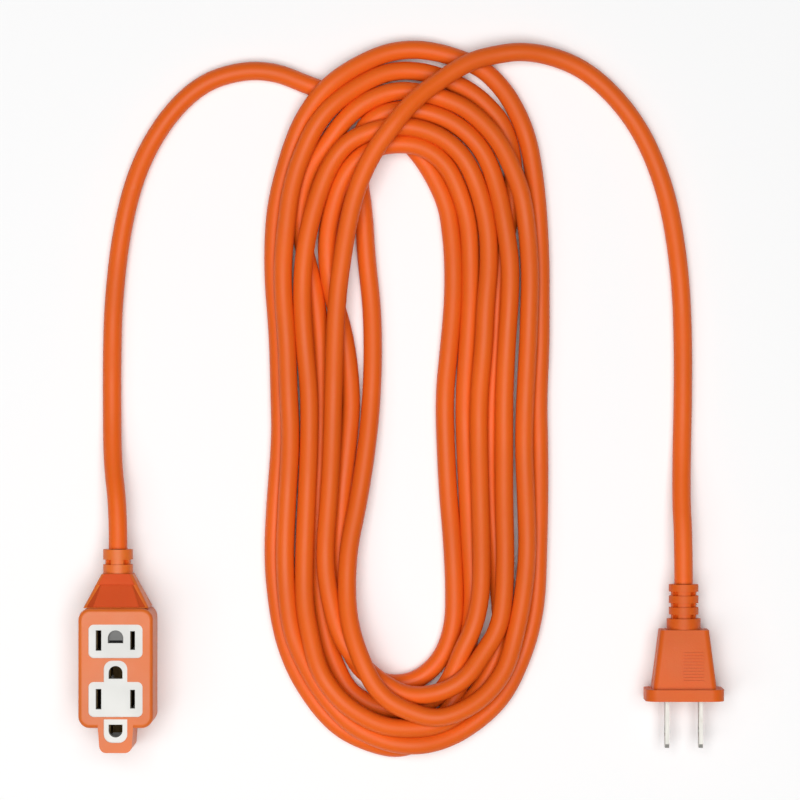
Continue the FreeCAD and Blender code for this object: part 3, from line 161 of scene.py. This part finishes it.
    (0.1435, 0.1725, 0.0090), (0.1460, 0.1595, 0.0103), (0.1480, 0.1450, 0.0100),
    (0.1475, 0.1295, 0.0092), (0.1465, 0.1155, 0.0090), (0.1455, 0.0955, 0.0085),
    (0.1455, 0.0775, 0.0085), (0.1455, 0.0560, 0.0088), (0.1460, 0.0370, 0.0092),
    (0.1455, 0.0195, 0.0103), (0.1435, 0.0075, 0.0112), (0.1370, -0.0025, 0.0125),
    (0.1315, -0.0105, 0.0140), (0.1235, -0.0155, 0.0145),
    # Seventh turn: left side, then over all to the plug.
    (0.1150, -0.0175, 0.0130), (0.1070, -0.0170, 0.0115), (0.0985, -0.0120, 0.0105),
    (0.0915, -0.0060, 0.0100), (0.0850, 0.0020, 0.0103), (0.0810, 0.0125, 0.0097),
    (0.0780, 0.0285, 0.0095), (0.0780, 0.0405, 0.0095), (0.0795, 0.0580, 0.0090),
    (0.0805, 0.0770, 0.0090), (0.0810, 0.0960, 0.0095), (0.0815, 0.1145, 0.0103),
    (0.0825, 0.1340, 0.0112), (0.0850, 0.1515, 0.0123), (0.0880, 0.1675, 0.0138),
    (0.0920, 0.1790, 0.0155), (0.0970, 0.1885, 0.0177), (0.1030, 0.1965, 0.0192),
    (0.1085, 0.2035, 0.0175), (0.1140, 0.2090, 0.0155), (0.1200, 0.2135, 0.0135),
    (0.1270, 0.2185, 0.0118), (0.1345, 0.2225, 0.0103), (0.1425, 0.2245, 0.0088),
)
PLUG_ROUTE = (
    (0.1520, 0.2260, 0.0075), (0.1635, 0.2245, 0.0047), (0.1760, 0.2195, 0.0032),
    (0.1875, 0.2095, 0.0035), (0.1970, 0.1970, 0.0035), (0.2040, 0.1820, 0.0035),
    (0.2090, 0.1650, 0.0035), (0.2125, 0.1410, 0.0035), (0.2135, 0.1185, 0.0035),
    (0.2135, 0.0955, 0.0035), (0.2130, 0.0750, 0.0037), (0.2125, 0.0550, 0.0083),
    (0.2131, 0.0435, 0.011), (0.2132, 0.0245, 0.011),
)

# The neck of the block, in metres: the foot of its front face, then the panel and the band along that face.
NECK_ROOT = (0.0, 0.0165, 0.0244)
NECK_DROP = 5.1 / 12.4
PANEL_LENGTH = 0.0088
PANEL_THICKNESS = 0.0004
PANEL_HALF_WIDTHS = (0.0086, 0.0058)
BAND_LENGTH = 0.0043
BAND_THICKNESS = 0.00055
BAND_HALF_WIDTHS = (0.0068, 0.0048)
FLANK_THICKNESS = 0.00015
FLANK_INNER = (0.0087, 0.0059)
FLANK_OUTER = (0.0110, 0.0062)

# The grey shutter on the floor of the blind recess, and the near-black sheet of painted shade for the dark gap
# along its flat side, in metres.
RECESS_FLOOR = 0.0242
SHUTTER_RADIUS = 0.00285
SHUTTER_THICKNESS = 0.0006
SHUTTER_ARCH_Y = 0.0051
SHUTTER_FOOT_Y = 0.00325
SHUTTER_SIDES = 48
GAP_HALF_WIDTH = 0.0025
GAP_LENGTH = 0.0009
GAP_THICKNESS = 0.0002

# Widths of the soft edges, in metres.
WIDE_EDGE = 0.00015
FINE_EDGE = 0.00005
EDGE_SEGMENTS = 2

# How far red, green and blue light run inside the soft plastic, and the scale of that run in metres.
GLOW_RADIUS = (1.0, 0.22, 0.06)
GLOW_DEPTH = 0.002

# Skins of the plastics: scale and strength of the grain, scale of the colour drift, strength of the scuffs.
SHEATH_SKIN = (2200.0, 0.15, 16.0, 0.20)
JACKET_SKIN = (1500.0, 0.25, 30.0, 0.25)
NECK_SKIN = (1500.0, 0.25, 30.0, 0.15)
SHUTTER_SKIN = (1500.0, 0.15, 60.0, 0.15)
GAP_SKIN = (1500.0, 0.15, 60.0, 0.05)
CORE_SKIN = (1300.0, 0.12, 60.0, 0.15)
WIRE_SKIN = (1800.0, 0.10, 60.0, 0.10)
PLASTIC_GRAIN_DEPTH = 0.0002
METAL_GRAIN_DEPTH = 0.0001
METAL_GRAIN_STRENGTH = 0.2

# Sockets of a colour mix, which share their names with those of the other kinds of mix.
MIX_FACTOR, MIX_FIRST, MIX_SECOND, MIX_RESULT = 0, 6, 7, 2

# The lights: name, place, width in metres, power in watts. They aim at the middle of the stage.
LIGHTS = (
    ("key_light", (0.05, -0.1, 2.0), 1.6, 43.0),
    ("fill_light", (-0.9, -0.5, 1.4), 0.8, 3.0),
)
STAGE_MIDDLE = (0.1, 0.1, 0.0)
AIR_STRENGTH = 0.06
FLOOR_WIDTH = 6.0
CAMERA_PLACE = (0.1062, 0.0940)


class CordSizes(bpy.types.PropertyGroup):
    """Sizes and colour of the cord."""

    diameter: FloatProperty(
        name="Diameter", description="Across the sheath", default=0.007, min=0.003, max=0.02, subtype="DISTANCE"
    )
    length: FloatProperty(
        name="Length", description="From the block's relief to the plug's", default=4.30, min=1.0, max=30.0,
        subtype="DISTANCE",
    )
    colour: FloatVectorProperty(
        name="Colour", description="Sheath", default=(0.84, 0.134, 0.010), min=0.0, max=1.0, subtype="COLOR"
    )


class JacketSizes(bpy.types.PropertyGroup):
    """Colours of the moulded ends; the neck panel colour is the jacket darkened as painted shade."""

    orange: FloatVectorProperty(
        name="Jacket", description="Soft jacket of the block", default=(0.76, 0.160, 0.016), min=0.0, max=1.0,
        subtype="COLOR",
    )
    plug: FloatVectorProperty(
        name="Plug jacket", description="Soft jacket of the plug", default=(0.76, 0.128, 0.012), min=0.0,
        max=1.0, subtype="COLOR",
    )
    # The neck panel colour is darker than the jacket as painted shade, for the neck face that turns from the light.
    neck: FloatVectorProperty(
        name="Neck panel", description="Matt moulded panel of the block's neck", default=(0.68, 0.082, 0.014),
        min=0.0, max=1.0, subtype="COLOR",
    )
    white: FloatVectorProperty(
        name="Outlet face", description="Hard white core", default=(0.75, 0.745, 0.71), min=0.0, max=1.0,
        subtype="COLOR",
    )


class StageSizes(bpy.types.PropertyGroup):
    """Camera and floor."""

    camera_height: FloatProperty(
        name="Camera height", description="Above the table", default=1.5, min=0.3, max=4.0, subtype="DISTANCE"
    )
    lens: FloatProperty(
        name="Lens", description="Focal length", default=177.6, min=20.0, max=300.0, unit="CAMERA"
    )
    floor: FloatVectorProperty(
        name="Floor", description="Studio floor", default=(0.97, 0.97, 0.97), min=0.0, max=1.0, subtype="COLOR"
    )


def join(tree, source, output, target, socket):
    tree.links.new(source.outputs[output], target.inputs[socket])


def group_shell(name, inputs, outputs):
    """A new shader node group with its sockets, its input node, its output node and the object's own place."""
    group = bpy.data.node_groups.new(name, "ShaderNodeTree")
    for socket, kind, default in inputs:
        group.interface.new_socket(name=socket, in_out="INPUT", socket_type=kind).default_value = default
    for socket, kind in outputs:
        group.interface.new_socket(name=socket, in_out="OUTPUT", socket_type=kind)
    start = group.nodes.new("NodeGroupInput")
    end = group.nodes.new("NodeGroupOutput")
    return group, start, end, group.nodes.new("ShaderNodeTexCoord")


def add_noise(tree, place, output, detail):
    """A noise over a place, with as much fine detail as asked."""
    noise = tree.nodes.new("ShaderNodeTexNoise")
    noise.inputs["Detail"].default_value = detail
    join(tree, place, output, noise, "Vector")
    return noise


def stretch_range(tree, noise, low, high):
    """Take the part of a noise between two values as the whole way from To Min to To Max."""
    stretched = tree.nodes.new("ShaderNodeMapRange")
    stretched.inputs["From Min"].default_value = low
    stretched.inputs["From Max"].default_value = high
    join(tree, noise, "Fac", stretched, "Value")
    return stretched


def mix_colours(tree, mask, first, first_output, second, second_output):
    """The first colour where the mask is 0, and the second where it is 1."""
    mix = tree.nodes.new("ShaderNodeMix")
    mix.data_type = "RGBA"
    join(tree, mask, "Result", mix, MIX_FACTOR)
    join(tree, first, first_output, mix, MIX_FIRST)
    join(tree, second, second_output, mix, MIX_SECOND)
    return mix


def make_moulded_grain():
    """Fine grain of a moulded or extruded surface, with slow patches of more and less polish."""
    group, start, end, place = group_shell(
        "moulded_grain",
        (
            ("Grain Scale", "NodeSocketFloat", 1800.0),
            ("Patch Scale", "NodeSocketFloat", 45.0),
            ("Smoothest", "NodeSocketFloat", 0.38),
            ("Roughest", "NodeSocketFloat", 0.55),
        ),
        (("Height", "NodeSocketFloat"), ("Roughness", "NodeSocketFloat")),
    )
    grain = add_noise(group, place, "Object", detail=3.0)
    join(group, start, "Grain Scale", grain, "Scale")
    patch = add_noise(group, place, "Object", detail=4.0)
    join(group, start, "Patch Scale", patch, "Scale")
    polish = stretch_range(group, patch, 0.3, 0.7)
    join(group, start, "Smoothest", polish, "To Min")
    join(group, start, "Roughest", polish, "To Max")
    join(group, grain, "Fac", end, "Height")
    join(group, polish, "Result", end, "Roughness")


def make_colour_drift():
    """A colour that drifts a little over the surface, with small pale scuffs."""
    group, start, end, place = group_shell(
        "colour_drift",
        (
            ("Colour", "NodeSocketColor", (0.8, 0.15, 0.03, 1.0)),
            ("Deep Colour", "NodeSocketColor", (0.7, 0.12, 0.02, 1.0)),
            ("Scuff Colour", "NodeSocketColor", (0.9, 0.4, 0.2, 1.0)),
            ("Drift Scale", "NodeSocketFloat", 14.0),
            ("Scuff Scale", "NodeSocketFloat", 260.0),
            ("Scuff Amount", "NodeSocketFloat", 0.25),
        ),
        (("Colour", "NodeSocketColor"),),
    )
    drift = add_noise(group, place, "Object", detail=2.0)
    join(group, start, "Drift Scale", drift, "Scale")
    softened = stretch_range(group, drift, 0.35, 0.65)
    tone = mix_colours(group, softened, start, "Deep Colour", start, "Colour")
    scuff = add_noise(group, place, "Object", detail=6.0)
    scuff.inputs["Roughness"].default_value = 0.7
    join(group, start, "Scuff Scale", scuff, "Scale")
    mask = stretch_range(group, scuff, 0.62, 0.78)
    join(group, start, "Scuff Amount", mask, "To Max")
    worn = mix_colours(group, mask, tone, MIX_RESULT, start, "Scuff Colour")
    join(group, worn, MIX_RESULT, end, "Colour")


def make_sheet_metal():
    """Rolled metal: fine lines along one way, and darker stains."""
    group, start, end, place = group_shell(
        "sheet_metal",
        (
            ("Metal", "NodeSocketColor", (0.7, 0.6, 0.4, 1.0)),
            ("Stain", "NodeSocketColor", (0.3, 0.2, 0.1, 1.0)),
            ("Stain Amount", "NodeSocketFloat", 0.4),
            ("Smoothest", "NodeSocketFloat", 0.2),
            ("Roughest", "NodeSocketFloat", 0.45),
        ),
        (("Colour", "NodeSocketColor"), ("Roughness", "NodeSocketFloat"), ("Height", "NodeSocketFloat")),
    )
    drawn = group.nodes.new("ShaderNodeMapping")
    drawn.inputs["Scale"].default_value = (2600.0, 120.0, 2600.0)
    join(group, place, "Object", drawn, "Vector")
    lines = add_noise(group, drawn, "Vector", detail=3.0)
    lines.inputs["Scale"].default_value = 1.0
    stain = add_noise(group, place, "Object", detail=5.0)
    stain.inputs["Scale"].default_value = 180.0
    mask = stretch_range(group, stain, 0.52, 0.72)
    join(group, start, "Stain Amount", mask, "To Max")
    tone = mix_colours(group, mask, start, "Metal", start, "Stain")
    join(group, tone, MIX_RESULT, end, "Colour")
    shine = stretch_range(group, lines, 0.0, 1.0)
    join(group, start, "Smoothest", shine, "To Min")
    join(group, start, "Roughest", shine, "To Max")
    join(group, shine, "Result", end, "Roughness")
    join(group, lines, "Fac", end, "Height")


def tinted(colour, factor, lift=0.0):
    return tuple(min(1.0, channel * factor + lift) for channel in colour[:3]) + (1.0,)


def blank_material(name):
    material = bpy.data.materials.new(name)
    material.use_nodes = True
    return material.node_tree, material.node_tree.nodes["Principled BSDF"]


def add_group(tree, name, values):
    """Put a shared node group into a material, with values for its sockets."""
    node = tree.nodes.new("ShaderNodeGroup")
    node.node_tree = bpy.data.node_groups[name]
    for socket, value in values.items():
        node.inputs[socket].default_value = value
    return node


def raise_grain(tree, shader, surface, strength, depth):
    relief = tree.nodes.new("ShaderNodeBump")
    relief.inputs["Strength"].default_value = strength
    relief.inputs["Distance"].default_value = depth
    join(tree, surface, "Height", relief, "Height")
    join(tree, relief, "Normal", shader, "Normal")


def plastic(name, colour, roughness, skin, shine, glow=0.0):
    """A moulded or extruded plastic from the two shared groups; glow is the light that it lets through."""
    grain_scale, bump, drift_scale, scuff_amount = skin
    tree, shader = blank_material(name)
    shader.inputs["Specular IOR Level"].default_value = shine
    shader.inputs["Subsurface Weight"].default_value = glow
    shader.inputs["Subsurface Radius"].default_value = GLOW_RADIUS
    shader.inputs["Subsurface Scale"].default_value = GLOW_DEPTH
    grain = add_group(
        tree, "moulded_grain", {"Grain Scale": grain_scale, "Smoothest": roughness[0], "Roughest": roughness[1]}
    )
    drift = add_group(
        tree,
        "colour_drift",
        {
            "Colour": tinted(colour, 1.0),
            "Deep Colour": tinted(colour, 0.88),
            "Scuff Colour": tinted(colour, 0.9, 0.08),
            "Drift Scale": drift_scale,
            "Scuff Amount": scuff_amount,
        },
    )
    join(tree, drift, "Colour", shader, "Base Color")
    join(tree, grain, "Roughness", shader, "Roughness")
    raise_grain(tree, shader, grain, bump, PLASTIC_GRAIN_DEPTH)


def metal(name, colour, stain, stain_amount, roughness):
    """A rolled metal with stains of a second colour."""
    tree, shader = blank_material(name)
    shader.inputs["Metallic"].default_value = 1.0
    surface = add_group(
        tree,
        "sheet_metal",
        {
            "Metal": tinted(colour, 1.0),
            "Stain": tinted(stain, 1.0),
            "Stain Amount": stain_amount,
            "Smoothest": roughness[0],
            "Roughest": roughness[1],
        },
    )
    join(tree, surface, "Colour", shader, "Base Color")
    join(tree, surface, "Roughness", shader, "Roughness")
    raise_grain(tree, shader, surface, METAL_GRAIN_STRENGTH, METAL_GRAIN_DEPTH)


def dress(finish, *nodes):
    """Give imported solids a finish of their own."""
    for node in nodes:
        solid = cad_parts[node]
        solid.data.materials.clear()
        solid.data.materials.append(bpy.data.materials[finish])


def slab(mesh, low, high):
    """Add a box between two corners to a mesh in the making."""
    low, high = Vector(low), Vector(high)
    made = bmesh.ops.create_cube(mesh, size=1.0)["verts"]
    bmesh.ops.scale(mesh, vec=high - low, verts=made)
    bmesh.ops.translate(mesh, vec=(low + high) / 2, verts=made)


def trim(mesh, point, outward):
    """Cut off what lies outward of a plane and close the cut."""
    parts = mesh.verts[:] + mesh.edges[:] + mesh.faces[:]
    cut = bmesh.ops.bisect_plane(mesh, geom=parts, plane_co=point, plane_no=outward, clear_outer=True)
    rim = [item for item in cut["geom_cut"] if isinstance(item, bmesh.types.BMEdge)]
    bmesh.ops.edgeloop_fill(mesh, edges=rim)


def neck_plate(side, inner, outer, length, thickness):
    """A plate with slanting sides, right of the middle for side 1 and left of it for side -1.

    Inner and outer are the places of its two sides at its foot and at its tip.
    """
    mesh = bmesh.new()
    slab(mesh, (side * min(inner), 0.0, 0.0), (side * max(outer), length, thickness))
    for (foot, tip), sign in ((inner, -1.0), (outer, 1.0)):
        outward = Vector((side * sign * length, -sign * (tip - foot), 0.0))
        trim(mesh, (side * foot, 0.0, 0.0), outward)
    return mesh


def add_piece(name, parts, place, finish, edge):
    """Join closed parts into one named piece with soft edges that rides on the cordset."""
    shape = bpy.data.meshes.new(name)
    whole = bmesh.new()
    for part in parts:
        bmesh.ops.recalc_face_normals(part, faces=part.faces[:])
        bmesh.ops.transform(part, matrix=place, verts=part.verts[:])
        part.to_mesh(shape)
        whole.from_mesh(shape)
        part.free()
    whole.to_mesh(shape)
    whole.free()
    piece = bpy.data.objects.new(name, shape)
    bpy.context.scene.collection.objects.link(piece)
    piece.data.materials.append(bpy.data.materials[finish])
    soft = piece.modifiers.new("soft_edges", "BEVEL")
    soft.width = edge
    soft.segments = EDGE_SEGMENTS
    soft.limit_method = "ANGLE"
    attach(piece, "root")


class CORDSET_OT_finishes(bpy.types.Operator):
    """Make every finish that the pieces share"""

    bl_idname = "cordset.finishes"
    bl_label = "Make finishes"

    def execute(self, context):
        cord = context.scene.cord_sizes
        jacket = context.scene.jacket_sizes
        make_moulded_grain()
        make_colour_drift()
        make_sheet_metal()
        plastic("soft_sheath", cord.colour, (0.40, 0.54), SHEATH_SKIN, shine=0.25, glow=0.12)
        plastic("soft_block_jacket", jacket.orange, (0.38, 0.50), JACKET_SKIN, shine=0.44, glow=0.15)
        plastic("soft_plug_jacket", jacket.plug, (0.40, 0.52), JACKET_SKIN, shine=0.20, glow=0.15)
        # Painted light on the neck: the panel darker as painted shade, the band a lighter copy as painted
        # highlight, the flanks a darker copy as painted shade.
        plastic("neck_panel_painted_shade", jacket.neck, (0.50, 0.62), NECK_SKIN, shine=0.20, glow=0.10)
        plastic("neck_band_painted_highlight", tinted(jacket.neck, 1.12), (0.46, 0.58), NECK_SKIN, shine=0.30, glow=0.10)
        plastic("neck_flank_painted_shade", tinted(jacket.neck, 0.78), (0.52, 0.64), NECK_SKIN, shine=0.12, glow=0.10)
        plastic("grey_shutter", (0.17, 0.17, 0.165), (0.45, 0.60), SHUTTER_SKIN, shine=0.30)
        # A near-black sheet of painted shade stands for the dark gap beside the grey shutter.
        plastic("shutter_gap_painted_shade", (0.010, 0.010, 0.010), (0.60, 0.75), GAP_SKIN, shine=0.10)
        plastic("hard_white", jacket.white, (0.35, 0.50), CORE_SKIN, shine=0.40)
        plastic("neutral_insulation", (0.78, 0.78, 0.76), (0.35, 0.50), WIRE_SKIN, shine=0.40)
        plastic("hot_insulation", (0.03, 0.03, 0.03), (0.35, 0.50), WIRE_SKIN, shine=0.40)
        # The contact brass is darkened far below real brass as painted shade for the slots it sits in.
        metal("contact_brass_painted_shade", (0.13, 0.085, 0.035), (0.03, 0.02, 0.012), 0.6, (0.45, 0.70))
        metal("plated_blade", (0.52, 0.51, 0.475), (0.36, 0.33, 0.27), 0.35, (0.50, 0.68))
        metal("bare_copper", (0.62, 0.27, 0.13), (0.30, 0.12, 0.06), 0.5, (0.20, 0.45))
        return {"FINISHED"}


class CORDSET_OT_cord(bpy.types.Operator):
    """Lay the cord from the block, through its seven turns, to the plug"""

    bl_idname = "cordset.cord"
    bl_label = "Lay the cord"

    def execute(self, context):
        sizes = context.scene.cord_sizes
        route = BLOCK_ROUTE + COIL_ROUTE + PLUG_ROUTE
        line = bpy.data.curves.new("extension_cord", "CURVE")
        line.dimensions = "3D"
        line.bevel_depth = sizes.diameter / 2
        line.bevel_resolution = 6
        line.resolution_u = 5
        line.use_fill_caps = True
        spline = line.splines.new("NURBS")
        spline.points.add(len(route) - 1)
        for point, place in zip(spline.points, route):
            point.co = (*place, 1.0)
        spline.order_u = 3
        spline.use_endpoint_u = True
        spline.use_smooth = True
        cord = bpy.data.objects.new("extension_cord", line)
        context.scene.collection.objects.link(cord)
        cord.data.materials.append(bpy.data.materials["soft_sheath"])
        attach(cord, "root")
        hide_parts("cord_block_stretch", "cord_coil", "cord_plug_stretch")
        dress("soft_sheath", "cord_end_in_block", "cord_end_in_plug")
        return {"FINISHED"}


class CORDSET_OT_block(bpy.types.Operator):
    """Dress the outlet block and what it holds"""

    bl_idname = "cordset.block"
    bl_label = "Dress the outlet block"

    def execute(self, context):
        dress("soft_block_jacket", "block_jacket")
        dress("hard_white", "block_front_core", "block_rear_core")
        # The contacts take brass darkened as painted shade.
        for pole in ("neutral", "hot"):
            for part in ("bus", "contact_upper", "contact_lower", "crimp"):
                dress("contact_brass_painted_shade", f"block_{pole}_{part}")
            dress("bare_copper", f"block_{pole}_strands")
            dress(f"{pole}_insulation", f"block_{pole}_wire")
        for part in ("contact_rivets", "ground_contact_middle", "ground_contact_end", "ground_strap"):
            dress("contact_brass_painted_shade", f"block_{part}")
        return {"FINISHED"}


class CORDSET_OT_neck(bpy.types.Operator):
    """Lay the matt panel in painted shade, the band in painted highlight and the flanks in darker painted shade on
    the neck of the block
    """

    bl_idname = "cordset.neck"
    bl_label = "Lay the neck panel"

    def execute(self, context):
        place = Matrix.Translation(NECK_ROOT) @ Matrix.Rotation(-math.atan(NECK_DROP), 4, "X")
        above = place @ Matrix.Translation((0.0, PANEL_LENGTH, 0.0))
        panel_left = tuple(-width for width in PANEL_HALF_WIDTHS)
        band_left = tuple(-width for width in BAND_HALF_WIDTHS)
        panel = [neck_plate(1.0, panel_left, PANEL_HALF_WIDTHS, PANEL_LENGTH, PANEL_THICKNESS)]
        band = [neck_plate(1.0, band_left, BAND_HALF_WIDTHS, BAND_LENGTH, BAND_THICKNESS)]
        flanks = [
            neck_plate(side, FLANK_INNER, FLANK_OUTER, PANEL_LENGTH, FLANK_THICKNESS) for side in (-1.0, 1.0)
        ]
        add_piece("block_neck_panel", panel, place, "neck_panel_painted_shade", WIDE_EDGE)
        add_piece("block_neck_band", band, above, "neck_band_painted_highlight", WIDE_EDGE)
        add_piece("block_neck_flanks_painted_shade", flanks, place, "neck_flank_painted_shade", FINE_EDGE)
        return {"FINISHED"}


class CORDSET_OT_shutter(bpy.types.Operator):
    """Set the grey shutter and a near-black sheet of painted shade for its dark gap in the blind recess of the
    outlet face
    """

    bl_idname = "cordset.shutter"
    bl_label = "Set the grey shutter"

    def execute(self, context):
        top = RECESS_FLOOR + SHUTTER_THICKNESS
        middle = Vector((0.0, SHUTTER_ARCH_Y, RECESS_FLOOR + SHUTTER_THICKNESS / 2))
        arch = bmesh.new()
        bmesh.ops.create_cone(
            arch,
            cap_ends=True,
            segments=SHUTTER_SIDES,
            radius1=SHUTTER_RADIUS,
            radius2=SHUTTER_RADIUS,
            depth=SHUTTER_THICKNESS,
        )
        bmesh.ops.translate(arch, vec=middle, verts=arch.verts[:])
        trim(arch, middle, (0.0, -1.0, 0.0))
        foot = bmesh.new()
        slab(foot, (-SHUTTER_RADIUS, SHUTTER_FOOT_Y, RECESS_FLOOR), (SHUTTER_RADIUS, SHUTTER_ARCH_Y, top))
        gap = bmesh.new()
        slab(
            gap,
            (-GAP_HALF_WIDTH, SHUTTER_FOOT_Y, top),
            (GAP_HALF_WIDTH, SHUTTER_FOOT_Y + GAP_LENGTH, top + GAP_THICKNESS),
        )
        here = Matrix.Identity(4)
        add_piece("block_shutter", [arch, foot], here, "grey_shutter", FINE_EDGE)
        add_piece("block_shutter_gap", [gap], here, "shutter_gap_painted_shade", FINE_EDGE)
        return {"FINISHED"}


class CORDSET_OT_plug(bpy.types.Operator):
    """Dress the plug and what it holds"""

    bl_idname = "cordset.plug"
    bl_label = "Dress the plug"

    def execute(self, context):
        dress("soft_plug_jacket", "plug_jacket")
        dress("hard_white", "plug_blade_bridge")
        for pole in ("neutral", "hot"):
            dress("plated_blade", f"plug_{pole}_blade")
            # The crimps take brass darkened as painted shade.
            dress("contact_brass_painted_shade", f"plug_{pole}_crimp")
            dress("bare_copper", f"plug_{pole}_strands")
            dress(f"{pole}_insulation", f"plug_{pole}_wire")
        return {"FINISHED"}


class CORDSET_OT_stage(bpy.types.Operator):
    """Set up the floor, the soft lights and the camera that looks straight down"""

    bl_idname = "cordset.stage"
    bl_label = "Set up the stage"

    def execute(self, context):
        scene = context.scene
        stage = scene.stage_sizes
        bpy.ops.mesh.primitive_grid_add(x_subdivisions=2, y_subdivisions=2, size=FLOOR_WIDTH, location=STAGE_MIDDLE)
        floor = context.object
        floor.name = "studio_floor"
        paper = bpy.data.materials.new("studio_paper")
        paper.use_nodes = True
        shader = paper.node_tree.nodes["Principled BSDF"]
        shader.inputs["Base Color"].default_value = (*stage.floor, 1.0)
        shader.inputs["Roughness"].default_value = 0.9
        floor.data.materials.append(paper)

        world = bpy.data.worlds.new("studio_air")
        world.use_nodes = True
        air = world.node_tree.nodes["Background"]
        air.inputs["Color"].default_value = (1.0, 1.0, 1.0, 1.0)
        air.inputs["Strength"].default_value = AIR_STRENGTH
        scene.world = world
        scene.view_settings.view_transform = "Standard"

        for name, place, width, power in LIGHTS:
            lamp = bpy.data.lights.new(name, "AREA")
            lamp.shape = "SQUARE"
            lamp.size = width
            lamp.energy = power
            light = bpy.data.objects.new(name, lamp)
            light.location = place
            away = Vector(place) - Vector(STAGE_MIDDLE)
            light.rotation_euler = away.to_track_quat("Z", "Y").to_euler()
            scene.collection.objects.link(light)

        lens = bpy.data.cameras.new("top_camera")
        lens.lens = stage.lens
        lens.sensor_width = 36.0
        lens.clip_start = 0.01
        lens.clip_end = 50.0
        camera = bpy.data.objects.new("top_camera", lens)
        camera.location = (*CAMERA_PLACE, stage.camera_height)
        scene.collection.objects.link(camera)
        scene.camera = camera
        return {"FINISHED"}


class CORDSET_PT_panel(bpy.types.Panel):
    """Lists the sizes, the colours and the steps that dress the extension cord"""

    bl_idname = "CORDSET_PT_panel"
    bl_label = "Extension Cord"
    bl_space_type = "VIEW_3D"
    bl_region_type = "UI"
    bl_category = "Extension Cord"

    def draw(self, context):
        layout = self.layout
        scene = context.scene
        for group, names in (
            (scene.stage_sizes, ("camera_height", "lens", "floor")),
            (scene.cord_sizes, ("diameter", "length", "colour")),
            (scene.jacket_sizes, ("orange", "plug", "neck", "white")),
        ):
            for name in names:
                layout.prop(group, name)
        for operator in STEPS:
            layout.operator(operator.bl_idname)


STEPS = (
    CORDSET_OT_finishes,
    CORDSET_OT_stage,
    CORDSET_OT_cord,
    CORDSET_OT_block,
    CORDSET_OT_neck,
    CORDSET_OT_shutter,
    CORDSET_OT_plug,
)
CLASSES = (CordSizes, JacketSizes, StageSizes, *STEPS, CORDSET_PT_panel)


def register():
    for item in CLASSES:
        bpy.utils.register_class(item)
    bpy.types.Scene.cord_sizes = PointerProperty(type=CordSizes)
    bpy.types.Scene.jacket_sizes = PointerProperty(type=JacketSizes)
    bpy.types.Scene.stage_sizes = PointerProperty(type=StageSizes)


def unregister():
    del bpy.types.Scene.stage_sizes
    del bpy.types.Scene.jacket_sizes
    del bpy.types.Scene.cord_sizes
    for item in reversed(CLASSES):
        bpy.utils.unregister_class(item)


def main():
    register()
    bpy.ops.cordset.finishes()
    bpy.ops.cordset.stage()
    bpy.ops.cordset.cord()
    bpy.ops.cordset.block()
    bpy.ops.cordset.neck()
    bpy.ops.cordset.shutter()
    bpy.ops.cordset.plug()


if __name__ == "__main__":
    main()
